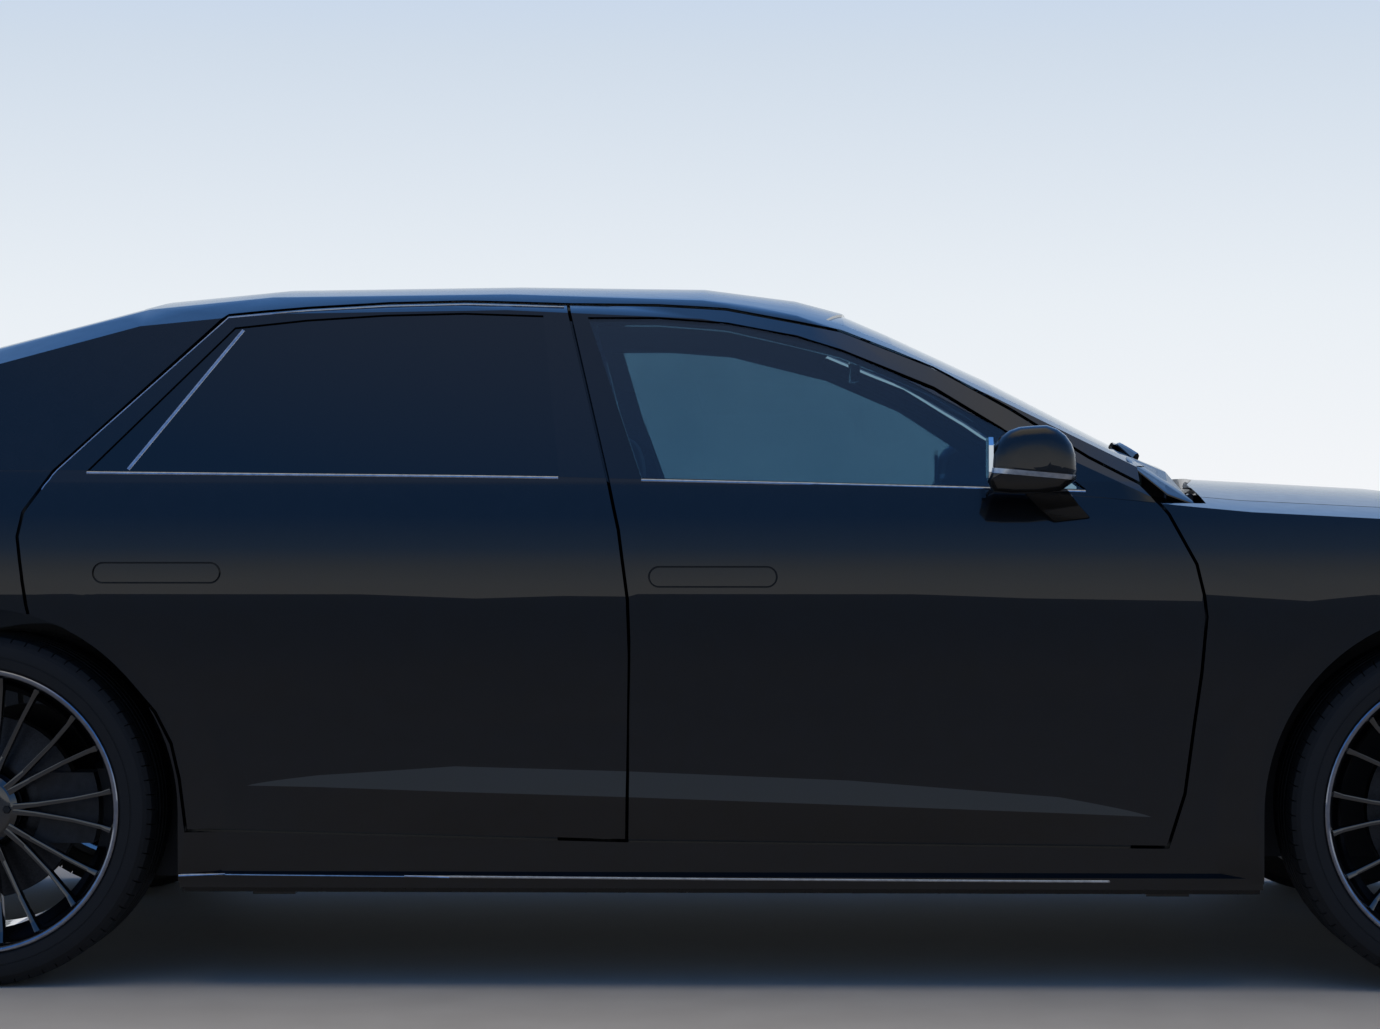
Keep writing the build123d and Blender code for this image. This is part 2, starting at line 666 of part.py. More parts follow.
def build():
    """Every node of the car."""
    os.makedirs("parts", exist_ok=True)
    extras = wheel_arch_flare(FRONT_AXLE) + wheel_arch_flare(REAR_AXLE) + sill_blade()
    outer = half_form() + extras
    hem_core = half_form(HEM_THICKNESS)
    skin_core = half_form(DOOR_SKIN)
    recess_core = half_form(DOOR_SKIN + RECESS_CLEARANCE)
    wells = wheel_wells()
    cabin = left_half(greenhouse(PILLAR_DEPTH, ROOF_DEPTH) & box(-3000, 3000, -1000, 1000, 1062, 1600))
    cabin += box(-1150, 1010, 0, CABIN_HALF_WIDTH, FLOOR_TOP, 1100)
    cabin -= rear_housing(HOUSING_WALL)
    trunk = box(-2480, -1250, 0, REAR_WELL_Y - 40, 450, 1030) - box(-2200, -2120, 0, 1000, 985, 1100)
    under = box(REAR_SPLIT, -1200, 0, REAR_WELL_Y, 0, BOOT_FLOOR_FOOT)
    layers = {
        "hem": outer - hem_core,
        "skin": hem_core - skin_core,
        "core": hem_core,
        "pane": glass_layer(),
    }
    wheel_free = {name: shape - wells for name, shape in layers.items()}
    front_door, front_glass = door_parts(wheel_free, DOOR_FRONT_OUTLINE, OPENING_FRONT, GLASS_FRONT_OUTLINE)
    rear_door, rear_glass = door_parts(wheel_free, DOOR_REAR_OUTLINE, OPENING_REAR, GLASS_REAR_OUTLINE)
    handles = {"front": (HANDLE_FRONT_X, HANDLE_FRONT_Z), "rear": (HANDLE_REAR_X, HANDLE_REAR_Z)}
    for name, door, hinge in (("front", front_door, front_hinge()), ("rear", rear_door, rear_hinge())):
        whole = door - door_pockets(*hinge) - handle_groove(*handles[name]) + door_eyes(*hinge)
        both_sides(whole, "door_" + name)
    both_sides(mirror() - outer, "mirror")
    both_sides(front_glass, "glass_front")
    both_sides(rear_glass, "glass_rear")

    half_gap = SHUT_GAP / 2
    bonnet_cut = lid_cut(plan_prism(BONNET_OUTLINE, 300, 1300, -half_gap))
    boot_cut = lid_cut(lid_zone(-half_gap))
    cuts = side_prism(DOOR_FRONT_OUTLINE, 1010, 560, -half_gap, -half_gap)
    cuts += side_prism(DOOR_REAR_OUTLINE, 1010, 560, -half_gap, -half_gap)
    door_cut = (outer - recess_core) & cuts
    door_cut += side_prism(OPENING_FRONT, 1010, 500)
    door_cut += side_prism(OPENING_REAR, 1010, 500)
    wing = outer - lower_half(FENDER_SKIN)
    fender = wing & box(985, BUMPER_SPLIT, FENDER_EDGE_Y, 1000, 190, 1100)
    fender -= upper_half() + cuts + wells + bonnet_cut
    both_sides(fender, "fender")

    body = outer - door_cut - cabin - trunk - under - wells - engine_bay() - bonnet_cut - boot_cut
    body -= wing & box(985, NOSE + 10, FENDER_EDGE_Y, 1000, 190, 1100)
    body -= hinge_groove(front_hinge(), DOOR_FRONT_OUTLINE)
    body -= hinge_groove(rear_hinge(), DOOR_REAR_OUTLINE)
    body -= cowl_well()
    body -= boot_swing()
    body -= plan_prism(SCREEN_OUTLINE, SCREEN_FOOT_Z, 1600)
    body -= plan_prism(REAR_SCREEN_OUTLINE, 1062, 1600)
    save_body_nodes(body)
    save_ends(outer, skin_core, wing, bonnet_cut)
    save_lids(outer)
    save_screens(layers["pane"])
    save_cabin()
    save_running_gear()


def lid_cut(space):
    """What a bonnet or lid takes out of the panels round it (left half)."""
    return left_half(space) - lower_half(LID_SKIN + 8)


def hinge_groove(axis, outline):
    """Room in the pillar for a door's front flange, which swings inwards as the door opens."""
    axis_x, axis_y = axis
    edge = SHUT_GAP / 2
    groove = cylinder_z(axis_x, axis_y, HINGE_GROOVE_RADIUS, 250, 1090)
    return groove & side_prism(outline, 1010, 560, -edge, -edge)


def cowl_well():
    """The trough under the bonnet's rear edge, ahead of the windscreen's foot (left half)."""
    rear = BONNET_OUTLINE[5][0] - SHUT_GAP / 2
    side = BONNET_OUTLINE[5][1] + SHUT_GAP / 2
    trough = box(rear, COWL_FRONT, 0, side, COWL_FLOOR, 1200)
    return trough - plan_prism(SCREEN_OUTLINE, COWL_FLOOR - 50, 1300, -COWL_LIP)


def boot_swing():
    """Room under the boot lid's front edge, which dips as the lid opens (left half)."""
    axis_x, axis_z = boot_hinge()
    side = BOOT_LID_HALF_WIDTH + SHUT_GAP / 2
    shelf_end = BOOT_LID_FRONT + BOOT_FRONT_GAP / 2
    swing = cylinder_y(axis_x, axis_z, LID_SWING_RADIUS, 0, side)
    return swing & box(axis_x - 100, shelf_end, 0, side, axis_z - 100, axis_z + 100)


def lid_eye(axis_x, axis_z, at_y, way):
    """The eye under a lid that turns on its hinge pin, with the arm that carries it."""
    low, high = at_y - EYE_HALF_LENGTH, at_y + EYE_HALF_LENGTH
    eye = cylinder_y(axis_x, axis_z, EYE_RADIUS, low, high)
    ends = sorted((axis_x, axis_x + way * EYE_ARM))
    arm = box(ends[0], ends[1], low, high, axis_z - EYE_RADIUS, axis_z + PIN_RADIUS)
    bore = cylinder_y(axis_x, axis_z, PIN_RADIUS + PIN_CLEARANCE, low - 1, high + 1)
    return eye + arm - bore


def lid_pocket(axis_x, axis_z, at_y, way):
    """Room in a lid for the fixed half of its hinge, under the outer skin."""
    ends = sorted((axis_x - way * (LUG_HALF_WIDTH + 3), axis_x + way * LID_SWING_RADIUS))
    side = POCKET_HALF_LENGTH
    return box(ends[0], ends[1], at_y - side, at_y + side, axis_z - 150, axis_z + EYE_RADIUS + 2)


def lid_pin(axis_x, axis_z, at_y):
    """A lid's hinge pin and the round ends of its two lugs."""
    reach = EYE_HALF_LENGTH + LUG_CLEARANCE
    end = reach + LUG_THICKNESS
    pin = cylinder_y(axis_x, axis_z, PIN_RADIUS, at_y - end, at_y + end)
    pin += cylinder_y(axis_x, axis_z, EYE_RADIUS, at_y - end, at_y - reach)
    return pin + cylinder_y(axis_x, axis_z, EYE_RADIUS, at_y + reach, at_y + end)


def lug_pair(x0, x1, at_y, z0, z1):
    """Two upright plates, one each side of a lid's eye."""
    reach = EYE_HALF_LENGTH + LUG_CLEARANCE
    end = reach + LUG_THICKNESS
    return box(x0, x1, at_y - end, at_y - reach, z0, z1) + box(x0, x1, at_y + reach, at_y + end, z0, z1)


def bonnet_lugs():
    """The fixed half of the left bonnet hinge."""
    x, z = bonnet_hinge()
    lugs = lug_pair(x - LUG_HALF_WIDTH, x + LUG_HALF_WIDTH, BONNET_HINGE_Y, COWL_FLOOR - LUG_ROOT, z)
    return lid_pin(x, z, BONNET_HINGE_Y) + lugs


def boot_lugs():
    """The fixed half of the left boot hinge, reaching back from the parcel shelf."""
    x, z = boot_hinge()
    arm_top = z - LID_SWING_RADIUS - 2
    arm_foot = arm_top - 26
    lugs = lug_pair(x - LUG_HALF_WIDTH, x + LUG_HALF_WIDTH, BOOT_HINGE_Y, arm_foot, z)
    arms = lug_pair(x - LUG_HALF_WIDTH, BOOT_LID_FRONT + EYE_ARM, BOOT_HINGE_Y, arm_foot, arm_top)
    return lid_pin(x, z, BOOT_HINGE_Y) + lugs + arms


def door_lugs(axis_x, axis_y):
    """The fixed halves of a left door's two hinges."""
    reach = EYE_HALF_LENGTH + LUG_CLEARANCE
    end = reach + LUG_THICKNESS
    left, right = axis_x - LUG_HALF_WIDTH, axis_x + LUG_HALF_WIDTH
    root = axis_y - HINGE_GROOVE_RADIUS - LUG_ROOT
    pieces = []
    for height in HINGE_HEIGHTS:
        pieces.append(cylinder_z(axis_x, axis_y, PIN_RADIUS, height - end, height + end))
        for low in (height - end, height + reach):
            pieces.append(cylinder_z(axis_x, axis_y, EYE_RADIUS, low, low + LUG_THICKNESS))
            pieces.append(box(left, right, root, axis_y, low, low + LUG_THICKNESS))
    return pieces[0].fuse(*pieces[1:])


def door_pockets(axis_x, axis_y):
    """Room in a door's front edge for the fixed halves of its hinges."""
    rear, front = axis_x - LUG_HALF_WIDTH - 3, axis_x + HINGE_BEHIND_EDGE + 10
    outer_y = axis_y + EYE_RADIUS + 1
    low, high = [box(rear, front, 800, outer_y, height - POCKET_HALF_LENGTH, height + POCKET_HALF_LENGTH)
                 for height in HINGE_HEIGHTS]
    return low + high


def door_eyes(axis_x, axis_y):
    """The eyes on a door that turn on its hinge pins."""
    eyes = None
    for height in HINGE_HEIGHTS:
        low = height - EYE_HALF_LENGTH
        high = height + EYE_HALF_LENGTH
        eye = cylinder_z(axis_x, axis_y, EYE_RADIUS, low, high)
        eye += box(axis_x - 2 * EYE_ARM, axis_x, axis_y - EYE_RADIUS, axis_y, low, high)
        eye -= cylinder_z(axis_x, axis_y, PIN_RADIUS + PIN_CLEARANCE, low - 1, high + 1)
        eyes = eye if eyes is None else eyes + eye
    return eyes


def bonnet_hinge():
    """Where the bonnet's hinge axis crosses a side view."""
    x = BONNET_OUTLINE[5][0] + SHUT_GAP / 2 + LID_HINGE_BEHIND_EDGE
    return x, BONNET_HINGE_Z


def boot_hinge():
    """Where the boot lid's hinge axis crosses a side view."""
    return BOOT_LID_FRONT - BOOT_FRONT_GAP / 2 - LID_HINGE_BEHIND_EDGE, BOOT_HINGE_Z


def front_hinge():
    """Plan position of the left front door's hinge axis."""
    edge = max(x for x, z in DOOR_FRONT_OUTLINE) - SHUT_GAP / 2
    return edge - HINGE_BEHIND_EDGE, DOOR_CREST_Y - HINGE_BELOW_CREST


def rear_hinge():
    """Plan position of the left rear door's hinge axis."""
    edge = max(x for x, z in DOOR_REAR_OUTLINE) - SHUT_GAP / 2
    return edge - HINGE_BEHIND_EDGE, DOOR_CREST_Y - HINGE_BELOW_CREST


def lid_zone(inset):
    """The space that the boot lid fills, seen from above and behind; its front gap is the widest."""
    half = BOOT_LID_HALF_WIDTH - inset
    front = BOOT_LID_FRONT - inset * BOOT_FRONT_GAP / SHUT_GAP
    return box(TAIL - 50, front, -half, half, BOOT_LID_BOTTOM + inset, 1200)


def rear_lamp_zone():
    """The left tail lamp, wrapped round the corner."""
    return box(TAIL - 10, -2390, BOOT_LID_HALF_WIDTH + 6, 1000, 852, 925)


def engine_bay():
    """The left half of the space under the bonnet."""
    bay = box(1225, 2440, 0, FRONT_WELL_Y - 45, 0, 985)
    bay += box(1060, 1225, 0, 700, 0, 880)
    bay += box(2105, 2440, 0, 700, 330, 760)
    return bay


def save_body_nodes(body):
    """The fixed body, divided where real panels meet."""
    wall = REAR_WELL_Y - 40
    side_zone = box(REAR_SPLIT, 1240, CABIN_HALF_WIDTH, 1000, 190, 1100)
    side_zone += box(REAR_SPLIT, 1240, ROOF_SEAM_Y, 1000, 1100, 1600)
    side_zone += box(REAR_SPLIT, -1150, wall, 1000, 190, 1100)
    side_zone += box(REAR_SPLIT, -1700, ROOF_SEAM_Y - 25, ROOF_SEAM_Y, 1100, 1600)
    side_zone += box(TAIL - 10, REAR_SPLIT, wall, 1000, BOOT_LID_BOTTOM - SHUT_GAP, 1200)
    lugs = door_lugs(*front_hinge()) + door_lugs(*rear_hinge())
    both_sides((body & side_zone) - rear_lamp_zone() + lugs + jack_pads(), "side_frame")
    centre(body & box(-1700, 900, 0, ROOF_SEAM_Y, 1100, 1600), "roof_panel")
    centre(body & box(-1150, 1060, 0, CABIN_HALF_WIDTH, 190, 1100), "floor_pan")
    inside = lower_half(BUMPER_SKIN)
    front_zone = (box(1125, 2300, 0, CABIN_HALF_WIDTH, 230, 1100) & inside)
    front_zone += box(1060, 1125, 0, CABIN_HALF_WIDTH, 230, 1100) + box(1125, 1230, 0, 745, 880, 1100)
    centre((body & front_zone) + bonnet_lugs(), "front_body")
    shelf_end = BOOT_LID_FRONT + BOOT_FRONT_GAP / 2
    rear_zone = box(REAR_SPLIT, -1150, 0, wall, 190, 1100) + box(shelf_end, REAR_SPLIT, 0, wall, 980, 1200)
    rear_zone += box(-2480, REAR_SPLIT, 0, wall, BOOT_FLOOR_FOOT, 470) & inside
    centre((body & rear_zone) + boot_lugs(), "rear_body")


def centre(half, name):
    """A node that crosses the centre plane, from its left half."""
    save(half + mirrored(half), name)


def save_ends(outer, skin_core, wing, bonnet_cut):
    """Bumpers, lamps and grille."""
    shell = outer - lower_half(BUMPER_SKIN)
    nose = shell & box(BUMPER_SPLIT, NOSE + 10, 0, 1000, 190, 1000)
    nose -= bonnet_cut
    lamp_space = box(2290, NOSE, 470, 1000, 700, 780)
    grille_space = box(2400, NOSE + 10, -10, GRILLE_HALF_WIDTH, GRILLE_FOOT, GRILLE_TOP)
    intake = box(2400, NOSE + 10, -10, 560, 252, 330) + box(2400, NOSE + 10, 600, 800, 300, 520)
    intake &= outer - skin_core
    centre(nose & lamp_space, "headlamps")
    centre((nose & grille_space) - grille_slots(), "grille")
    bumper = nose - lamp_space - grille_space - intake
    save(with_tow_socket(bumper + mirrored(bumper), TOW_FRONT_X, TOW_FRONT_Z, 1), "front_bumper")
    tail = shell & box(TAIL - 10, REAR_SPLIT, 0, 1000, 190, BOOT_LID_BOTTOM - SHUT_GAP)
    tail = tail + mirrored(tail) - plate_seat()
    save(with_tow_socket(tail, TOW_REAR_X, TOW_REAR_Z, -1), "rear_bumper")
    centre(wing & rear_lamp_zone(), "tail_lamps")


def cylinder_x(y, z, radius, x0, x1):
    """A cylinder that lies along the car."""
    return Location(((x0 + x1) / 2, y, z), (0, 90, 0)) * Cylinder(radius, abs(x1 - x0))


def with_tow_socket(bumper, mouth_x, z, way):
    """A bumper with the boss and thread for a towing eye, set back in a round pocket."""
    inner = mouth_x - way * TOW_THREAD_LENGTH
    boss = cylinder_x(TOW_Y, z, TOW_BOSS_RADIUS, inner - way * LUG_ROOT, mouth_x)
    pocket = cylinder_x(TOW_Y, z, TOW_BOSS_RADIUS - 4, mouth_x, mouth_x + way * 60)
    return bumper + boss - pocket - cylinder_x(TOW_Y, z, TOW_THREAD_RADIUS, inner, mouth_x)


def plate_seat():
    """The flat seat of the rear number plate and its two screw holes."""
    seat_space = box(TAIL - 50, PLATE_SEAT_X, -PLATE_HALF_WIDTH, PLATE_HALF_WIDTH, PLATE_FOOT, PLATE_TOP)
    for y in (-PLATE_HOLE_SPACING / 2, PLATE_HOLE_SPACING / 2):
        hole_end = PLATE_SEAT_X + PLATE_HOLE_DEPTH
        seat_space += cylinder_x(y, PLATE_HOLE_Z, PLATE_HOLE_RADIUS, PLATE_SEAT_X, hole_end)
    return seat_space


def jack_pads():
    """Flat pads under the left sill, one behind the front wheel and one ahead of the rear wheel."""
    front, rear = [
        box(x - JACK_PAD_HALF_LENGTH, x + JACK_PAD_HALF_LENGTH, JACK_PAD_Y - JACK_PAD_HALF_WIDTH,
            JACK_PAD_Y + JACK_PAD_HALF_WIDTH, JACK_PAD_Z, GROUND_CLEARANCE + LUG_ROOT)
        for x in (FRONT_AXLE - JACK_PAD_FROM_AXLE, REAR_AXLE + JACK_PAD_FROM_AXLE)
    ]
    return front + rear


def grille_slots():
    """The openings between the grille's slats and ribs, left half."""
    pitch = (GRILLE_TOP - GRILLE_FOOT - 2 * GRILLE_BORDER + SLAT) / SLAT_ROWS
    width = (GRILLE_HALF_WIDTH - GRILLE_BORDER) / RIB_BAYS
    slots = []
    for row in range(SLAT_ROWS):
        low = GRILLE_FOOT + GRILLE_BORDER + row * pitch
        for bay in range(RIB_BAYS):
            side = bay * width + RIB / 2
            slots.append(box(2300, NOSE + 20, side, (bay + 1) * width - RIB / 2, low, low + pitch - SLAT))
    return Compound(children=slots)


def save_lids(outer):
    """Bonnet and boot lid."""
    sheet = outer - lower_half(LID_SKIN)
    bonnet = sheet & plan_prism(BONNET_OUTLINE, 300, 1300, SHUT_GAP / 2)
    axis = (*bonnet_hinge(), BONNET_HINGE_Y)
    bonnet = bonnet - upper_half() - lid_pocket(*axis, -1) + lid_eye(*axis, 1)
    centre(bonnet, "bonnet")
    axis = (*boot_hinge(), BOOT_HINGE_Y)
    lid = (sheet & lid_zone(SHUT_GAP / 2)) - lid_pocket(*axis, 1) + lid_eye(*axis, -1)
    centre(lid, "boot_lid")


def save_screens(pane):
    """Windscreen and rear window."""
    centre(pane & plan_prism(SCREEN_OUTLINE, SCREEN_FOOT_Z, 1600), "windscreen")
    centre(pane & plan_prism(REAR_SCREEN_OUTLINE, 1062, 1600), "rear_window")


def save_cabin():
    """Seats, dashboard, steering wheel and engine block."""
    both_sides(Location((SEAT_X, SEAT_Y, FLOOR_TOP)) * seat(), "front_seat")
    bench = across(BENCH_PROFILE, 0, 690) - rear_housing(HOUSING_WALL + RECESS_CLEARANCE)
    centre(bench + across(BENCH_HEAD, 305, 515), "rear_bench")
    hub = Location((560, SEAT_Y, 890), (0, -65, 0))
    dash = across(DASH_PROFILE, -790, 790) + across(HOOD_PROFILE, SEAT_Y - 165, SEAT_Y + 165)
    dash += across(CONSOLE_PROFILE, -118, 118)
    dash -= hub * cylinder_z(0, 0, COLUMN_RADIUS + PIN_CLEARANCE, -400, 0)
    save(dash, "dashboard")
    wheel = hub * Torus(182, 15) + hub * Cylinder(60, 40) + hub * box(-15, 15, -180, 180, -10, 10)
    column = hub * cylinder_z(0, 0, COLUMN_RADIUS, -300, 0)
    save(wheel + column, "steering_wheel")
    half = ENGINE_HALF_WIDTH
    save(box(ENGINE_REAR, ENGINE_FRONT, -half, half, ENGINE_FOOT, ENGINE_TOP), "engine_block")


def save_running_gear():
    """Wheels, tyres, knuckles and the frames that carry them."""
    for piece, name in ((rim(), "rim"), (tyre(), "tyre")):
        for end, axle_x in (("front", FRONT_AXLE), ("rear", REAR_AXLE)):
            save(place_wheel(piece, axle_x, 1), f"{name}_{end}_left")
            save(place_wheel(piece, axle_x, -1), f"{name}_{end}_right")
    carrier = knuckle()
    save(place_wheel(carrier, FRONT_AXLE, 1), "knuckle_front_left")
    save(place_wheel(carrier, FRONT_AXLE, -1), "knuckle_front_right")
    hub_y = WHEEL_PLANE_Y - STEER_AXIS_INBOARD - 20
    half = place_wheel(carrier, REAR_AXLE, 1) + box(REAR_AXLE - 60, REAR_AXLE + 60, 0, hub_y, 300, 395)
    half += box(REAR_AXLE - 40, REAR_AXLE + 40, 430, 550, 395, BOOT_FLOOR_FOOT)
    half -= box(REAR_AXLE - 300, REAR_AXLE + 300, -900, 0, 0, 900)
    centre(half, "rear_subframe")
    reach = WHEEL_PLANE_Y - STEER_AXIS_INBOARD
    half = box(FRONT_AXLE - 35, FRONT_AXLE + 35, 0, reach - 70, ARM_TOP - 36, ARM_TOP)
    half += box(FRONT_AXLE - BALL_END, FRONT_AXLE + BALL_END, 0, reach, ARM_TOP - 36, ARM_TOP)
    half += cylinder_z(FRONT_AXLE, reach, BALL_END, ARM_TOP - 36, ARM_TOP)
    half += box(FRONT_AXLE - 250, FRONT_AXLE + 250, 0, FRONT_WELL_Y, ARM_TOP - 46, FRONT_BODY_FOOT)
    half += box(ENGINE_REAR + 60, ENGINE_REAR + 120, 180, 250, ARM_TOP, ENGINE_FOOT)
    half += box(ENGINE_FRONT - 120, ENGINE_FRONT - 60, 180, 250, ARM_TOP, ENGINE_FOOT)
    centre(half, "front_subframe")


build()
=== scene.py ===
"""Looks for the full-size sedan: paint, glass, trim, cabin, running gear, camera and light.

Metres, the part's own frame: +X forward, +Y left, +Z up.
"""

import json
import math

import bmesh
import bpy
from mathutils import Matrix, Vector
from mathutils.bvhtree import BVHTree


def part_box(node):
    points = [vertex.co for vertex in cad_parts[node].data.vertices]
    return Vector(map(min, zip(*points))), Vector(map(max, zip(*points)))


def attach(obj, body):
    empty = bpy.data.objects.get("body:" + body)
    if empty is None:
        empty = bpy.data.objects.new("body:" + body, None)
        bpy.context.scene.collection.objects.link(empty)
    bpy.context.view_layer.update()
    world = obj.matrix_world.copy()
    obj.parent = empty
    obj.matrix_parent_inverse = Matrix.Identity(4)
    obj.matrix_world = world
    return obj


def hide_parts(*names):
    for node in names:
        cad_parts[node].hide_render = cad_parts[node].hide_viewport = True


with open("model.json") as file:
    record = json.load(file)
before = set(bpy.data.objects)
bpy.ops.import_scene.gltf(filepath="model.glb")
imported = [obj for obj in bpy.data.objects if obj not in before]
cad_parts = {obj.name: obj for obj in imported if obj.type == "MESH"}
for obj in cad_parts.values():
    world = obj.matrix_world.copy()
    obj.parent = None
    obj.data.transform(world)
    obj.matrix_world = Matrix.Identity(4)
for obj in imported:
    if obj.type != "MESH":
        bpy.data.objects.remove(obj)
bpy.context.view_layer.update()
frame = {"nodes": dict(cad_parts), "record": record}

SIDES = {"left": 1, "right": -1}
ENDS = ("front", "rear")
SLOT_OF = {row["node"]: row["material_slot"] for row in frame["record"]["subparts"]}
BODY_OF = {node: body for body, nodes in frame["record"]["behaviour"]["bodies"].items() for node in nodes}

# Camera, from the photograph's perspective
CAMERA_PLACE = (0.184, -7.532, 1.040)
CAMERA_YAW = 0.023
CAMERA_LENS = 82.0
CAMERA_SENSOR = 36.0
CAMERA_SHIFT_X = 0.0016
CAMERA_SHIFT_Y = -0.0149
CAMERA_REACH = 200

# Floor and overhead light, whose colour is linear red, green and blue
FLOOR_WIDTH = 160
LIGHT_LENGTH = 10.0
LIGHT_WIDTH = 7.0
LIGHT_HEIGHT = 5.5
LIGHT_POWER = 330
LIGHT_COLOUR = (1.0, 0.86, 0.64)
# Sky: colours at heights over the horizon, from 0 there to 1 overhead
SKY = (
    (0.0, "#f4f6f9"), (0.06, "#e9eff5"), (0.14, "#d0dcea"), (0.28, "#8fb8ee"), (0.50, "#5f9ae8"),
    (0.80, "#5f9ae8"), (0.95, "#f2ece0"),
)

# Depth of a material's grain, and the size in millimetres of the faint patches in a pane's tint
GRAIN_DEPTH = 0.001
GLASS_PATCH = 333

# Meshes: points nearer than this are one, and edges flatter than these angles are shown smooth
MERGE_DISTANCE = 0.00002
SHARP_ANGLE = math.radians(24)
HOUSING_ANGLE = math.radians(40)
CARD_ANGLE = math.radians(50)
CUSHION_ANGLE = math.radians(60)

# Body side: half width of the smooth skin at heights up from the sill, and its lean there in degrees
BODY_SIDE = (
    (0.190, 0.934, -3.0), (0.320, 0.938, -1.6), (0.560, 0.940, -2.2), (0.680, 0.948, -2.9),
    (0.790, 0.952, -1.0), (0.850, 0.9482, 1.4), (0.900, 0.945, 6.0), (1.012, 0.925, 17.0),
    (1.060, 0.8994, 28.0),
)
# A face belongs to the side where it looks outwards and lies this far out, and to its smooth skin where
# it also lies this near the half width above and hardly turns towards the nose or the tail
SIDE_FACING = 0.8
SIDE_INNERMOST = 0.85
SKIN_TOLERANCE = 0.0015
SKIN_TURN = 0.1
# Below the waist, and off the smooth skin, normals are calmed, up to a height over which that fades out
WAIST = 0.79
CALM_TOP = 0.90
CALM_FADE = 0.08
# Facet low on the doors: the heights it lies between, the least upward tilt of its faces, and its lean
BLADE_BAND = (0.300, 0.486)
BLADE_TILT = 0.04
BLADE_LEAN = math.radians(7.5)

# Search for the car's side: where rays start, how far out the side lies at least, and the steps inwards
# from a shut line to the panel beside it
RAY_START = 1.3
SIDE_LEAST = 0.5
SEARCH_STEPS = 20
SEARCH_STEP = 0.002
DOOR_MIDDLE = (-0.3, 1.1)

# Belt line, window edges and trims, as (x, z) seen from the side
BELT_SPLIT = 1.066
BELT_ROUTES = {
    "front": ((-0.067, 1.075), (0.300, 1.067), (0.615, 1.059), (0.868, 1.051)),
    "rear": ((-1.246, 1.091), (-0.850, 1.087), (-0.450, 1.083), (-0.243, 1.080)),
}
# Edge of the rear door's frame: no trim there, the bright strip along it is a painted highlight where the
# frame catches the light
FRAME_HIGHLIGHT_ROUTE = (
    (-1.352, 1.050), (-1.312, 1.092), (-0.973, 1.425), (-0.803, 1.441), (-0.631, 1.452),
    (-0.460, 1.456), (-0.244, 1.450),
)
QUARTER_BAR_ROUTE = ((-0.939, 1.396), (-1.160, 1.092))
SKIRT_ROUTE = ((-1.035, 0.241), (0.100, 0.234), (1.180, 0.230))
BELT_STRIP = {"half_width": 0.0032, "height": 0.0020, "drop": 0.006, "proud": 0.0005, "steps": 4}
FRAME_HIGHLIGHT = {"half_width": 0.0016, "height": 0.0014, "drop": 0.002, "proud": 0.0003, "steps": 4}
QUARTER_BAR = {"half_width": 0.0040, "height": 0.0015, "drop": 0.0, "proud": 0.0002, "steps": 8}
SKIRT_LINE = {"half_width": 0.0028, "height": 0.0016, "drop": 0.0, "proud": 0.0002, "steps": 12}
# Section of a strip in shares of its half width and height: a crowned face and a shallow keel
STRIP_SECTION = ((-1, 0), (-0.7, 0.75), (0, 1), (0.7, 0.75), (1, 0), (0, -0.6))

# Cowl covers: at places across the car, the (x, z) points of the upper face from the windscreen forwards
COWL_STATIONS = (
    (0.36, (1.082, 1.100), (1.096, 1.092), (1.106, 1.066)),
    (0.50, (1.043, 1.108), (1.064, 1.102), (1.104, 1.052)),
    (0.62, (1.008, 1.1165), (1.064, 1.094), (1.106, 1.040)),
    (0.68, (0.985, 1.121), (1.064, 1.088), (1.106, 1.034)),
    (0.74, (0.972, 1.1195), (1.060, 1.068), (1.106, 1.030)),
    (0.80, (0.968, 1.112), (1.050, 1.060), (1.106, 1.026)),
    (0.83, (0.975, 1.100), (1.050, 1.040), (1.106, 1.019)),
)
COWL_THICKNESS = 0.003

# Wipers: the route of each part over the windscreen as (x, y), its half width and its height
WIPER_PARTS = {
    "arm": (((1.012, 0.56), (0.990, 0.40), (1.010, 0.22)), 0.007, 0.016),
    "blade": (((0.965, 0.50), (1.020, 0.26), (1.050, 0.02)), 0.004, 0.010),
}
WIPER_STEPS = 5
WIPER_GAP = 0.0005
ABOVE_ROOF = 2.0

# Exhaust finishers, across the rear bumper
FINISHER_START = 0.46
FINISHER_STEP = 0.028
FINISHER_POINTS = 9
FINISHER_Z = 0.30
FINISHER_HALF_WIDTH = 0.010
FINISHER_HEIGHT = 0.002
FINISHER_SUNK = 0.001
BEHIND_CAR = -3.0

# Headlamp lenses: a row of bright tiles set into the covers
LENS_COUNT = 6
LENS_START = 0.56
LENS_PITCH = 0.045
LENS_Z = 0.74
LENS_SIZE = (0.003, 0.030, 0.034)
AHEAD_OF_CAR = 3.0

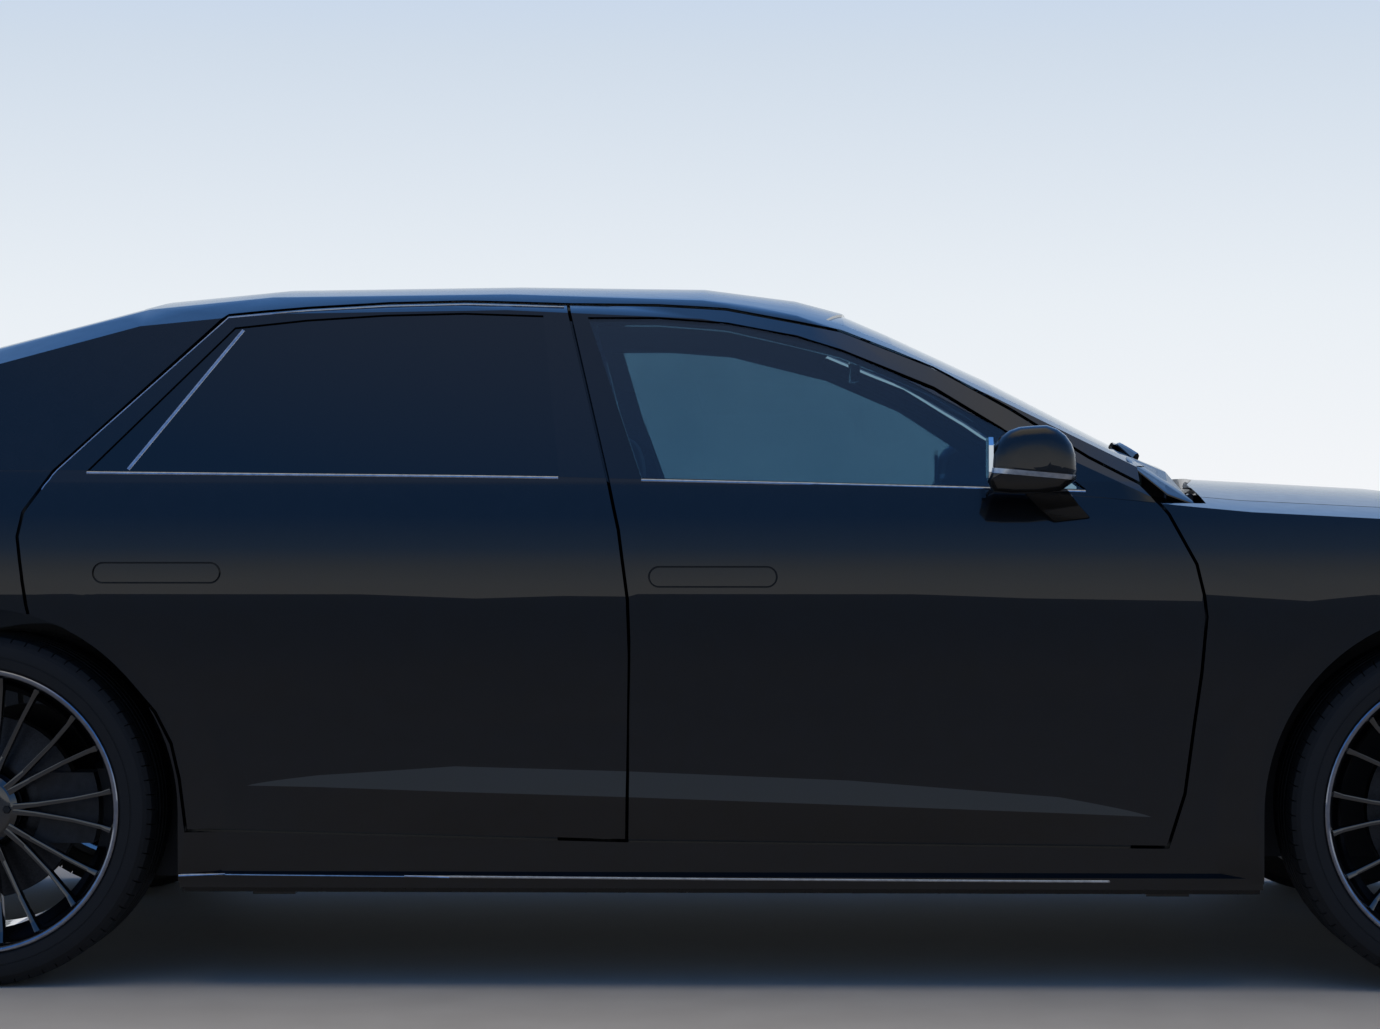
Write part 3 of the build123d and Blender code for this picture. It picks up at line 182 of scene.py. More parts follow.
# Wheels, with profiles of (radius, outward place from the wheel's middle)
WHEEL_STEPS = 96
TYRE_HALF_PROFILE = (
    (0.3015, 0.1262), (0.3060, 0.1300), (0.3180, 0.1316), (0.3260, 0.1322), (0.3265, 0.1310),
    (0.3290, 0.1310), (0.3295, 0.1322), (0.3420, 0.1322), (0.3520, 0.1300), (0.3600, 0.1240),
    (0.3632, 0.1160), (0.3642, 0.0700), (0.3718, 0.0690), (0.3718, 0.0420), (0.3645, 0.0405),
    (0.3645, 0.0315), (0.3718, 0.0300), (0.3718, 0.0055), (0.3645, 0.0045),
)
RIM_PROFILE = (
    (0.3005, -0.131), (0.3005, -0.123), (0.288, -0.119), (0.283, -0.085), (0.262, -0.060),
    (0.262, 0.060), (0.283, 0.090), (0.2885, 0.117), (0.2995, 0.1215), (0.2990, 0.1255),
    (0.2900, 0.1250), (0.2835, 0.1160), (0.2780, 0.0950), (0.2560, 0.0640), (0.2560, -0.064),
    (0.277, -0.090), (0.284, -0.131),
)
LIP_PROFILE = (
    (0.2915, 0.1252), (0.2920, 0.1296), (0.2950, 0.1316), (0.2985, 0.1318), (0.3008, 0.1298),
    (0.3005, 0.1240),
)
HUB_PROFILE = (
    (0.031, 0.030), (0.031, 0.082), (0.034, 0.090), (0.050, 0.091), (0.064, 0.088), (0.076, 0.078),
    (0.080, 0.060), (0.080, 0.030),
)
CAP_PROFILE = (
    (0.0002, 0.070), (0.0002, 0.0955), (0.020, 0.0950), (0.027, 0.0925), (0.0302, 0.0880),
    (0.0302, 0.070),
)
DISC_PROFILE = (
    (0.090, -0.010), (0.090, 0.024), (0.100, 0.0245), (0.104, 0.0230), (0.194, 0.0230),
    (0.195, 0.021), (0.195, -0.008), (0.193, -0.010),
)
# Spokes: radius, place as a share of the pitch, half width, and how far out their face and back lie
SPOKE_PAIRS = 10
SPOKE_STATIONS = (
    (0.050, 0.10, 0.0100, 0.086, 0.058), (0.120, 0.14, 0.0072, 0.083, 0.066),
    (0.200, 0.18, 0.0062, 0.091, 0.073), (0.262, 0.215, 0.0066, 0.104, 0.082),
    (0.287, 0.235, 0.0090, 0.117, 0.088),
)
SPOKE_FACE_SHARE = 0.72
SPOKE_EDGE = 0.0011
# Wheel bolts
BOLT_COUNT = 5
BOLT_SIDES = 6
BOLT_CIRCLE = 0.056
BOLT_RADIUS = 0.0095
BOLT_FOOT = 0.070
BOLT_TOP = 0.093
BOLT_CHAMFER = 0.002
BOLT_TOP_SHARE = 0.8
# Tread blocks of a tyre's shoulder, slanted about a line round the tyre
TREAD_BLOCKS = 74
TREAD_HALF = 0.0142
TREAD_SLANT = 0.12
TREAD_SLANT_PLACE = 0.09
TREAD_PROFILE = (
    (0.3635, 0.071), (0.3718, 0.071), (0.3718, 0.101), (0.3690, 0.1165), (0.3600, 0.1245),
    (0.352, 0.120),
)

# Mirror housing: how large its side view is at places out from the car
MIRROR_STATIONS = (
    (0.950, 0.70), (0.962, 0.84), (0.985, 0.94), (1.015, 0.99), (1.038, 1.0), (1.056, 0.95),
    (1.068, 0.84), (1.074, 0.66), (1.0775, 0.40),
)
# Its side view: the middle it shrinks about, the arch over the top and the line of the foot
MIRROR_MIDDLE = (0.742, 1.112)
MIRROR_ARCH_MIDDLE = (0.746, 1.0885)
MIRROR_ARCH_FRONT = (0.0905, 0.096)
MIRROR_ARCH_REAR = (0.0885, 0.092)
MIRROR_ARCH_POWERS = (0.85, 0.8)
MIRROR_ARCH_STEPS = 12
MIRROR_UNDERSIDE = (
    (0.652, 1.066), (0.664, 1.044), (0.700, 1.040), (0.760, 1.041), (0.806, 1.048), (0.834, 1.068),
)
# Its slices between two planes that fall a little to the front, and how far each is pushed outwards
MIRROR_PLANE = (0.09, 0, 1)
MIRROR_SLICES = (
    ("cap", 1.0905, None, 0.0), ("seam", 1.0875, 1.0900, 0.0), ("band", 1.0765, 1.0870, 0.0012),
    ("base", None, 1.0760, 0.0),
)
MIRROR_MIDDLE_Y = 1.015
# Its foot, in rings from the door up to the housing, and its glass
MIRROR_FOOT = (
    ((0.876, 0.934, 0.990), (0.800, 0.934, 0.980), (0.800, 0.900, 0.984), (0.876, 0.900, 0.994)),
    ((0.850, 0.958, 1.016), (0.770, 0.958, 1.006), (0.770, 0.925, 1.012), (0.850, 0.925, 1.020)),
    ((0.822, 1.010, 1.047), (0.726, 1.010, 1.045), (0.730, 0.962, 1.050), (0.822, 0.962, 1.052)),
)
MIRROR_FOOT_EDGE = 0.004
MIRROR_GLASS_FACES = (0.6640, 0.6545)
MIRROR_GLASS_MIDDLE = (1.012, 1.115)
MIRROR_GLASS_HALF = (0.044, 0.042)
MIRROR_GLASS_OUTLINE = (
    (-1, -0.8), (-0.85, -1), (0.85, -1), (1, -0.7), (0.98, 0.6), (0.8, 1), (-0.75, 1), (-1, 0.7),
)

# Seats: side outlines in millimetres, those of the front seats about SEAT_PLACE as in the CAD source
SEAT_PLACE = (190, 262)
SEAT_CUSHION = (
    (-240, 60), (230, 78), (272, 118), (276, 165), (230, 192), (60, 172), (-180, 140), (-240, 150),
)
SEAT_BACK = (
    (-260, 100), (-170, 120), (-185, 300), (-235, 480), (-325, 720), (-370, 742), (-415, 705),
    (-400, 560), (-330, 330), (-290, 200),
)
SEAT_HEAD = ((-338, 780), (-296, 800), (-306, 890), (-345, 922), (-395, 900), (-408, 800))
BENCH_PLACE = (0, 0)
BENCH_CUSHION = (
    (-500, 285), (-472, 380), (-485, 440), (-540, 466), (-700, 450), (-900, 425), (-960, 400),
    (-960, 285),
)
BENCH_BACK = (
    (-880, 420), (-925, 470), (-1010, 720), (-1070, 905), (-1105, 926), (-1142, 900), (-1142, 700),
    (-1000, 430),
)
BENCH_HEAD = ((-1062, 900), (-1040, 960), (-1060, 1040), (-1100, 1056), (-1138, 1030), (-1140, 900))
# Their pads: outline, place across, half width, share of it at which the seam runs, and sewn channels
SEAT_ACROSS = 0.385
SEAT_PADS = {
    "cushion": (SEAT_CUSHION, SEAT_ACROSS, 0.250, 0.58, 14),
    "back": (SEAT_BACK, SEAT_ACROSS, 0.238, 0.56, 18),
    "head": (SEAT_HEAD, SEAT_ACROSS, 0.128, None, 0),
}
BENCH_PADS = {
    "cushion": (BENCH_CUSHION, 0.338, 0.325, 0.62, 14),
    "back": (BENCH_BACK, 0.312, 0.300, 0.62, 16),
    "head": (BENCH_HEAD, 0.410, 0.105, None, 0),
}
# Radius of the pads' side edges and how far their middle stands up
SEAT_EDGE = 0.040
SEAT_CROWN = 0.006
BENCH_EDGE = 0.035
BENCH_CROWN = 0.004
# Pads: rings across, how far out the last ones lie, corner cuts of an outline, and the sewn grooves
PAD_RINGS = 45
PAD_REACH = 0.999
CORNER_CUTS = 3
GROOVE_WIDTH = 0.006
SEAM_DEPTH = 0.007
CHANNEL_DEPTH = 0.005
# Base under a front seat's cushion, with the (x, z) of its upper face at both ends, and headrest posts
BASE_ENDS = ((-0.01, 0.345), (0.40, 0.372))
BASE_HALF_WIDTH = 0.225
BASE_DEPTH = 0.075
BASE_EDGE = 0.012
POST_RADIUS = 0.006
POST_LENGTH = 0.12
POST_SIDES = 16
POST_HALF_SPACING = 0.0675
POST_X = -0.172
POST_Z = 1.02

# Screen and vents on the dashboard
SCREEN_FACES = (0.715, 0.703)
SCREEN_OUTLINE = (
    (-0.30, 0.93), (-0.13, 0.93), (0.13, 0.93), (0.13, 1.004), (-0.13, 1.004), (-0.30, 1.004),
)
SCREEN_EDGE = 0.003
VENTS_ACROSS = (-0.62, -0.43, 0.62)
VENT_X = 0.701
VENT_Z = 0.900
FIN_COUNT = 5
FIN_PITCH = 0.010
FIN_SIZE = (0.012, 0.13, 0.0035)

# Cabin mirror behind the windscreen and its stem
CABIN_MIRROR_FACES = (0.398, 0.420)
CABIN_MIRROR_Z = 1.338
CABIN_MIRROR_HALF = (0.10, 0.030)
CABIN_MIRROR_EDGE = 0.004
CABIN_MIRROR_OUTLINE = (
    (-1, -0.6), (-0.85, -1), (0.85, -1), (1, -0.6), (1, 0.6), (0.85, 1), (-0.85, 1), (-1, 0.6),
)
STEM_ENDS = ((0.412, 1.358), (0.420, 1.400))
STEM_HALF_WIDTH = 0.008
STEM_THICKNESS = 0.012

# Door cards: rear and front end, foot and top, grid, and gap to the door's inner face
CARD_ENDS = {"front": (0.02, 0.66), "rear": (-0.93, -0.36)}
CARD_FOOT = 0.53
CARD_TOP = 1.01
CARD_COLUMNS = 24
CARD_ROWS = 18
CARD_GAP = 0.0005
# Their relief: thickness at the edge, the soft rise beside it, and the armrest
CARD_THICKNESS = 0.004
CARD_RISE = 0.010
CARD_RISE_WIDTH = 0.03
ARMREST_Z = 0.72
ARMREST_HALF_HEIGHT = 0.045
ARMREST_DEPTH = 0.030
ARMREST_INSET = 0.05
ARMREST_FADE = 0.06


def colour(code):
    """Linear RGBA from an sRGB hex code."""
    parts = [int(code[i:i + 2], 16) / 255 for i in (1, 3, 5)]
    linear = [c / 12.92 if c <= 0.04045 else ((c + 0.055) / 1.055) ** 2.4 for c in parts]
    return (*linear, 1.0)


def add(tree, kind, **values):
    """A node with its inputs and settings filled in: a node output as a value is linked."""
    node = tree.nodes.new(kind)
    for key, value in values.items():
        name = key.replace("_", " ")
        if name in node.inputs:
            if isinstance(value, bpy.types.NodeSocket):
                tree.links.new(value, node.inputs[name])
            else:
                node.inputs[name].default_value = value
        else:
            setattr(node, key, value)
    return node


def new_material(name):
    """An empty node material: itself, its tree, its output and its object coordinates."""
    material = bpy.data.materials.new(name)
    material.use_nodes = True
    tree = material.node_tree
    tree.nodes.clear()
    out = tree.nodes.new("ShaderNodeOutputMaterial")
    coordinates = tree.nodes.new("ShaderNodeTexCoord").outputs["Object"]
    return material, tree, out, coordinates


def noise(tree, coordinates, size, detail=3.0):
    """A noise value between 0 and 1, in a pattern of a size in millimetres."""
    node = add(tree, "ShaderNodeTexNoise", Vector=coordinates, Scale=1000 / size, Detail=detail)
    return node.outputs["Fac"]


def ramp(tree, factor, low, high, start=0.3, end=0.7):
    """A colour that runs between two others as a value rises."""
    node = add(tree, "ShaderNodeValToRGB", Fac=factor)
    node.color_ramp.elements[0].position = start
    node.color_ramp.elements[0].color = low
    node.color_ramp.elements[1].position = end
    node.color_ramp.elements[1].color = high
    return node.outputs["Color"]


def spread(tree, factor, low, high):
    """A number that runs from low to high as a value runs from 0 to 1."""
    return add(tree, "ShaderNodeMapRange", Value=factor, To_Min=low, To_Max=high).outputs["Result"]


def surface(name, dark, light, rough, patch, bump=0.0, grain=2.5, **settings):
    """A material whose colour and gloss vary in patches, with a raised grain, both given in millimetres."""
    material, tree, out, at = new_material(name)
    patches = noise(tree, at, patch)
    shader = add(tree, "ShaderNodeBsdfPrincipled",
                 Base_Color=ramp(tree, patches, colour(dark), colour(light)),
                 Roughness=spread(tree, patches, rough[0], rough[1]), **settings)
    if bump:
        height = noise(tree, at, grain, detail=2.0)
        relief = add(tree, "ShaderNodeBump", Height=height, Strength=bump, Distance=GRAIN_DEPTH)
        tree.links.new(relief.outputs["Normal"], shader.inputs["Normal"])
    tree.links.new(shader.outputs["BSDF"], out.inputs["Surface"])
    return material


def glazing(name, tint, clear):
    """Window glass: a tinted see-through sheet with a mirror-like face."""
    material, tree, out, at = new_material(name)
    haze = noise(tree, at, GLASS_PATCH)
    through = add(tree, "ShaderNodeBsdfTransparent", Color=ramp(tree, haze, colour(tint), colour(clear)))
    glossy = add(tree, "ShaderNodeBsdfGlossy", Color=(1, 1, 1, 1), Roughness=0.01)
    facing = add(tree, "ShaderNodeFresnel", IOR=1.5)
    mixed = add(tree, "ShaderNodeMixShader", Fac=facing.outputs["Fac"])
    tree.links.new(through.outputs["BSDF"], mixed.inputs[1])
    tree.links.new(glossy.outputs["BSDF"], mixed.inputs[2])
    tree.links.new(mixed.outputs["Shader"], out.inputs["Surface"])
    return material


# The grain of underseal, rubber, iron, leather and soft plastic is coarser than the real one, to show
MATERIALS = {
    # Solid black base coat under polished clear lacquer: deep, mirror-like, with a faint blue cast
    "paint": surface("black_lacquer", "#010204", "#020409", (0.25, 0.35), patch=33.3,
                     Specular_IOR_Level=0.1, Coat_Weight=0.7, Coat_Roughness=0.012, Coat_IOR=1.5),
    # Sprayed underseal on steel: dull dark grey, slightly pebbled
    "underbody": surface("underseal", "#17181a", "#222327", (0.55, 0.75), patch=50, bump=0.2),
    # Moulded gloss black plastic: nearly as glossy as the paint, but neutral
    "dark_trim": surface("piano_black_trim", "#030304", "#050506", (0.05, 0.1), patch=16.7,
                         Specular_IOR_Level=0.5),
    # Float glass with a slight tint: the cabin shows through it, cooled, under a sharp reflection
    "screen_glass": glazing("tinted_float_glass", "#a6bcc6", "#b3c6ce"),
    # Dark tinted glass: the cabin behind it almost vanishes and only the reflection is left
    "dark_glass": glazing("dark_tinted_glass", "#0b1018", "#0e141d"),
    # Clear moulded polycarbonate over a bright reflector: pale and glassy against the paint
    "lamp": surface("lamp_cover", "#8d949c", "#b5bcc4", (0.05, 0.1), patch=12.5, Metallic=0.6,
                    Coat_Weight=1.0),
    # Red moulded acrylic: deep red under a wet gloss
    "red_lamp": surface("red_lamp_cover", "#4a0306", "#6d0509", (0.05, 0.1), patch=8.33, Coat_Weight=1.0),
    # Cast aluminium in gloss black enamel: dark spokes with thin, sharp highlights
    "rim_metal": surface("black_enamelled_alloy", "#040405", "#070709", (0.1, 0.18), patch=20,
                         Coat_Weight=1.0, Coat_Roughness=0.04),
    # Vulcanised rubber: dull charcoal that greys a little where light grazes it
    "tyre_rubber": surface("tyre_rubber", "#0b0b0c", "#131314", (0.6, 0.8), patch=28.6, bump=0.15,
                           Specular_IOR_Level=0.3),
    # Sand-cast iron, bare: dark grey with a rough, broken shine
    "cast": surface("cast_iron", "#232426", "#303134", (0.45, 0.65), patch=16.7, bump=0.3, Metallic=0.8),
    # Embossed leather: near black and warm, its soft highlights broken by the grain
    "leather": surface("grained_leather", "#15130f", "#1e1b17", (0.45, 0.6), patch=66.7, bump=0.25,
                       grain=1.11),
    # Slush-moulded plastic skin: dark, matte and finely grained
    "soft_trim": surface("slush_moulded_trim", "#101012", "#18181b", (0.5, 0.65), patch=40, bump=0.2,
                         grain=1.43),
}
# Bright anodised aluminium strip: satin, picks up the sky; laid along the rear door frame's edge it is a
# painted highlight
BRIGHT_STRIP = surface("bright_anodised_strip", "#8e939c", "#a9aeb6", (0.18, 0.28), patch=11.1, Metallic=1.0)
# Polished aluminium under smoked lacquer: a mirror-like ring, darker than the trims
SMOKED_LIP = surface("smoked_polished_lip", "#797c86", "#888b95", (0.08, 0.14), patch=14.3, Metallic=1.0)
# Turned iron, bare: dark grey with a satin, slightly uneven shine
TURNED_IRON = surface("turned_iron", "#222326", "#2e3034", (0.3, 0.42), patch=3.33, Metallic=1.0)
# Silvered glass: the brightest and sharpest reflection on the car
SILVERED = surface("silvered_glass", "#c6ccd2", "#d0d6dc", (0.01, 0.03), patch=50, Metallic=1.0)


def place(mesh, name, material, body, slot, *replaced):
    """A finished mesh as a piece of the car."""
    mesh.name = name
    mesh.materials.clear()
    mesh.materials.append(material)
    piece = bpy.data.objects.new(name, mesh)
    bpy.context.scene.collection.objects.link(piece)
    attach(piece, body)
    if replaced:
        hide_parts(*replaced)
    return piece


def as_mesh(work, name="shape"):
    """A bmesh written out as a mesh."""
    mesh = bpy.data.meshes.new(name)
    work.to_mesh(mesh)
    work.free()
    return mesh


def finish_mesh(work, angle=SHARP_ANGLE):
    """A bmesh as a mesh with outward faces, smooth except at its sharp edges."""
    bmesh.ops.remove_doubles(work, verts=work.verts, dist=MERGE_DISTANCE)
    bmesh.ops.recalc_face_normals(work, faces=work.faces)
    for face in work.faces:
        face.smooth = True
    for edge in work.edges:
        edge.smooth = len(edge.link_faces) == 2 and edge.calc_face_angle(0) < angle
    return as_mesh(work)


def loft(rings, endless=False):
    """A bmesh through closed rings of points: closed at both ends, or endless as a tyre is."""
    work = bmesh.new()
    loops = [[work.verts.new(point) for point in ring] for ring in rings]
    count = len(loops[0])
    following = loops[1:] + loops[:1] if endless else loops[1:]
    for first, second in zip(loops, following):
        for i in range(count):
            j = (i + 1) % count
            work.faces.new((first[i], first[j], second[j], second[i]))
    if not endless:
        work.faces.new(loops[0][::-1])
        work.faces.new(loops[-1])
    return work


def block(rings, bevel=0.0, angle=SHARP_ANGLE):
    """A closed form through rings of corners, with its edges rounded."""
    work = loft(rings)
    bmesh.ops.recalc_face_normals(work, faces=work.faces)
    if bevel:
        bmesh.ops.bevel(work, geom=work.edges[:], offset=bevel, segments=2, profile=0.6, affect="EDGES")
    return finish_mesh(work, angle)


def keep_between(work, low, high, at_x=0.0, up=(0, 0, 1), closed=False):
    """Cuts away what lies above the high plane and below the low one, and closes the cuts if asked."""
    for height, upper in ((high, True), (low, False)):
        if height is not None:
            everything = work.verts[:] + work.edges[:] + work.faces[:]
            cut = bmesh.ops.bisect_plane(work, geom=everything, plane_co=(at_x, 0, height),
                                         plane_no=up, clear_outer=upper, clear_inner=not upper)
            if closed:
                rim = [e for e in cut["geom_cut"] if isinstance(e, bmesh.types.BMEdge)]
                bmesh.ops.holes_fill(work, edges=rim)


def divided(points, count):
    """More points along a route, evenly between the given ones."""
    out = []
    for a, b in zip(points, points[1:]):
        out += [tuple(p + (q - p) * i / count for p, q in zip(a, b)) for i in range(count)]
    return out + [points[-1]]


def surface_tree(*nodes):
    """A search tree over the surfaces of some CAD nodes."""
    points = []
    faces = []
    for node in nodes:
        mesh = frame["nodes"][node].data
        start = len(points)
        points += [v.co.copy() for v in mesh.vertices]
        faces += [[start + i for i in face.vertices] for face in mesh.polygons]
    return BVHTree.FromPolygons(points, faces)


def cast(tree, start, way):
    """Where a ray meets a surface first, and the surface's normal towards the ray's start."""
    way = Vector(way)
    hit, normal, _, _ = tree.ray_cast(Vector(start), way)
    if hit and normal.dot(way) > 0:
        normal = -normal
    return hit, normal


def side_of_body(z):
    """Half width and lean of the smooth body side at a height, or nothing outside its range."""
    for (z0, y0, lean0), (z1, y1, lean1) in zip(BODY_SIDE, BODY_SIDE[1:]):
        if z0 <= z <= z1:
            share = (z - z0) / (z1 - z0)
            return y0 + (y1 - y0) * share, math.radians(lean0 + (lean1 - lean0) * share)
    return None


def blade_face(centre, normal):
    """Whether a face belongs to the facet low on the doors."""
    in_band = BLADE_BAND[0] < centre.z < BLADE_BAND[1]
    return in_band and abs(normal.x) < SKIN_TURN and normal.z > BLADE_TILT


def skin_normal(point, face, corner):
    """The normal that the body side shows at a face corner: a clean sheen above the waist, calm below it."""
    skin = side_of_body(point.z)
    facing_out = abs(face.normal.y) >= SIDE_FACING and face.normal.y * point.y > 0
    if skin is None or not facing_out or abs(point.y) < SIDE_INNERMOST:
        return corner
    half_width, lean = skin
    off_skin = abs(abs(point.y) - half_width) > SKIN_TOLERANCE or abs(face.normal.x) > SKIN_TURN
    if blade_face(face.center, face.normal):
        lean = BLADE_LEAN
    elif point.z < WAIST or off_skin:
        calm = Vector((corner.x, corner.y, min(corner.z, math.sin(lean)))).normalized()
        fade = min(1.0, max(0.0, (point.z - CALM_TOP) / CALM_FADE))
        return calm.lerp(corner, fade).normalized()
    return Vector((0, math.copysign(math.cos(lean), point.y), math.sin(lean)))


def even_out(mesh):
    """One even sheen over the body side, whatever cuts its faces were divided by."""
    mesh.update()
    corners = [loop.vector.copy() for loop in mesh.corner_normals]
    wanted = []
    for face in mesh.polygons:
        for index in face.loop_indices:
            point = mesh.vertices[mesh.loops[index].vertex_index].co
            wanted.append(skin_normal(point, face, corners[index]))
    mesh.normals_split_custom_set(wanted)


def panel_mesh(node, low=None, high=None):
    """A CAD panel with its faces joined, or the part of it between two heights."""
    work = bmesh.new()
    work.from_mesh(frame["nodes"][node].data)
    bmesh.ops.remove_doubles(work, verts=work.verts, dist=MERGE_DISTANCE)
    bmesh.ops.dissolve_degenerate(work, edges=work.edges, dist=MERGE_DISTANCE)
    keep_between(work, low, high)
    for face in work.faces:
        face.smooth = True
    for edge in work.edges:
        faces = edge.link_faces
        flat = len(faces) == 2 and edge.calc_face_angle(0) < SHARP_ANGLE
        kinds = {blade_face(face.calc_center_median(), face.normal) for face in faces}
        edge.smooth = flat and len(kinds) == 1
    mesh = as_mesh(work)
    even_out(mesh)
    return mesh


def dress_frame():
    """Every CAD node in its material, and the painted panels as smooth copies."""
    paint = MATERIALS["paint"]
    trim = MATERIALS["dark_trim"]
    for node, thing in frame["nodes"].items():
        slot = SLOT_OF[node]
        body = BODY_OF[node]
        if node.startswith("door_"):
            place(panel_mesh(node, high=BELT_SPLIT), f"skin_{node}", paint, body, "paint", node)
            place(panel_mesh(node, low=BELT_SPLIT), f"window_frame_{node}", trim, body, "dark_trim")
        elif slot == "paint" and not node.startswith("mirror"):
            place(panel_mesh(node), f"skin_{node}", paint, body, "paint", node)
        else:
            thing.data.materials.clear()
            thing.data.materials.append(MATERIALS[slot])


def onto_side(tree, x, z, side, proud):
    """The point of the car's side at x and z, or just inwards of them, standing proud of it."""
    inwards = (Vector((DOOR_MIDDLE[0], 0, DOOR_MIDDLE[1])) - Vector((x, 0, z))).normalized()
    for step in range(SEARCH_STEPS):
        start = Vector((x, side * RAY_START, z)) + inwards * (SEARCH_STEP * step)
        hit, normal = cast(tree, start, (0, -side, 0))
        if hit and abs(hit.y) > SIDE_LEAST:
            break
    return hit + normal * proud, normal


def strip(path, half_width, height):
    """A flat bar with a crowned face along a path of points and surface normals."""
    rings = []
    for i, (point, normal) in enumerate(path):
        ahead = path[min(i + 1, len(path) - 1)][0]
        behind = path[max(i - 1, 0)][0]
        across = normal.cross((ahead - behind).normalized()).normalized()
        rings.append([point + across * (u * half_width) + normal * (v * height) for u, v in STRIP_SECTION])
    return finish_mesh(loft(rings))


def side_trim(name, body, tree, side, route, half_width, height, drop, proud, steps):
    """A bright strip along a route on the car's side, or a little below it."""
    path = [onto_side(tree, x, z - drop, side, proud) for x, z in divided(route, steps)]
    place(strip(path, half_width, height), name, BRIGHT_STRIP, body, "rim_metal")


def window_trims():
    """Bright belt strips, a bright strip laid as a painted highlight along the edge of the rear door's frame,
    and the bar of the quarter light.
    """
    for name, side in SIDES.items():
        tree = surface_tree(*(f"{kind}_{end}_{name}" for kind in ("door", "glass") for end in ENDS))
        for end in ENDS:
            body = f"door_{end}_{name}"
            side_trim(f"belt_strip_{end}_{name}", body, tree, side, BELT_ROUTES[end], **BELT_STRIP)
        body = f"door_rear_{name}"
        # Bright strip along the rear door frame's edge: a painted highlight
        side_trim(f"frame_edge_{name}", body, tree, side, FRAME_HIGHLIGHT_ROUTE, **FRAME_HIGHLIGHT)
        side_trim(f"quarter_bar_{name}", body, tree, side, QUARTER_BAR_ROUTE, **QUARTER_BAR)


def skirt_lines():
    """A bright line along the foot of each sill."""
    for name, side in SIDES.items():
        tree = surface_tree(f"side_frame_{name}")
        side_trim(f"skirt_line_{name}", "body", tree, side, SKIRT_ROUTE, **SKIRT_LINE)


def cowl_covers():
    """Gloss black covers over the ends of the trough below the windscreen."""
    for name, side in SIDES.items():
        rings = []
        for y, *top in COWL_STATIONS:
            upper = [Vector((x, side * y, z)) for x, z in top]
            lower = [Vector((x, side * y, z - COWL_THICKNESS)) for x, z in reversed(top)]
            rings.append(upper + lower)
        place(block(rings, angle=HOUSING_ANGLE), f"cowl_cover_{name}", MATERIALS["dark_trim"], "body",
              "dark_trim")


def wipers():
    """A wiper arm and blade resting at the foot of each half of the windscreen."""
    tree = surface_tree("windscreen")
    for name, side in SIDES.items():
        for part, (route, half_width, height) in WIPER_PARTS.items():
            path = []
            for x, y in divided(route, WIPER_STEPS):
                hit, normal = cast(tree, (x, side * y, ABOVE_ROOF), (0, 0, -1))
                path.append((hit + normal * WIPER_GAP, normal))
            place(strip(path, half_width, height), f"wiper_{part}_{name}", MATERIALS["dark_trim"], "body",
                  "dark_trim")


def exhaust_trims():
    """A bright finisher low on each side of the rear bumper."""
    tree = surface_tree("rear_bumper")
    for name, side in SIDES.items():
        path = []
        for k in range(FINISHER_POINTS):
            y = side * (FINISHER_START + FINISHER_STEP * k)
            hit, normal = cast(tree, (BEHIND_CAR, y, FINISHER_Z), (1, 0, 0))
            path.append((hit - normal * FINISHER_SUNK, normal))
        place(strip(path, FINISHER_HALF_WIDTH, FINISHER_HEIGHT), f"exhaust_trim_{name}", BRIGHT_STRIP,
              "body", "rim_metal")


def revolved(profile, centre):
    """A closed ring about a wheel's axle from a profile of (radius, outward place)."""
    side = math.copysign(1, centre.y)
    rings = []
    for k in range(WHEEL_STEPS):
        turn = math.tau * k / WHEEL_STEPS
        rings.append([centre + Vector((r * math.cos(turn), side * y, r * math.sin(turn)))
                      for r, y in profile])
    return finish_mesh(loft(rings, endless=True))


def ring_tree():
    """A node tree that repeats a source object round the Y axis and moves the ring to its centre."""
    tree = bpy.data.node_groups.new("ring_of_copies", "GeometryNodeTree")
    for label, kind in (("Source", "NodeSocketObject"), ("Count", "NodeSocketInt"),
                        ("Centre", "NodeSocketVector"), ("Finish", "NodeSocketMaterial")):
        tree.interface.new_socket(label, in_out="INPUT", socket_type=kind)
    tree.interface.new_socket("Geometry", in_out="OUTPUT", socket_type="NodeSocketGeometry")
    given = tree.nodes.new("NodeGroupInput").outputs
    points = add(tree, "GeometryNodePoints", Count=given["Count"])
    source = add(tree, "GeometryNodeObjectInfo", Object=given["Source"])
    index = tree.nodes.new("GeometryNodeInputIndex")
    share = add(tree, "ShaderNodeMath", operation="DIVIDE")
    tree.links.new(index.outputs[0], share.inputs[0])
    tree.links.new(given["Count"], share.inputs[1])
    turn = add(tree, "ShaderNodeMath", operation="MULTIPLY")
    tree.links.new(share.outputs[0], turn.inputs[0])
    turn.inputs[1].default_value = math.tau
    angles = add(tree, "ShaderNodeCombineXYZ", Y=turn.outputs[0])
    copies = add(tree, "GeometryNodeInstanceOnPoints", Points=points.outputs[0],
                 Instance=source.outputs["Geometry"], Rotation=angles.outputs[0])
    moved_ring = add(tree, "GeometryNodeTransform", Geometry=copies.outputs[0], Translation=given["Centre"])
    real = add(tree, "GeometryNodeRealizeInstances", Geometry=moved_ring.outputs[0])
    finished = add(tree, "GeometryNodeSetMaterial", Geometry=real.outputs[0], Material=given["Finish"])
    out = tree.nodes.new("NodeGroupOutput")
    tree.links.new(finished.outputs[0], out.inputs[0])
    return tree


RING_TREE = ring_tree()


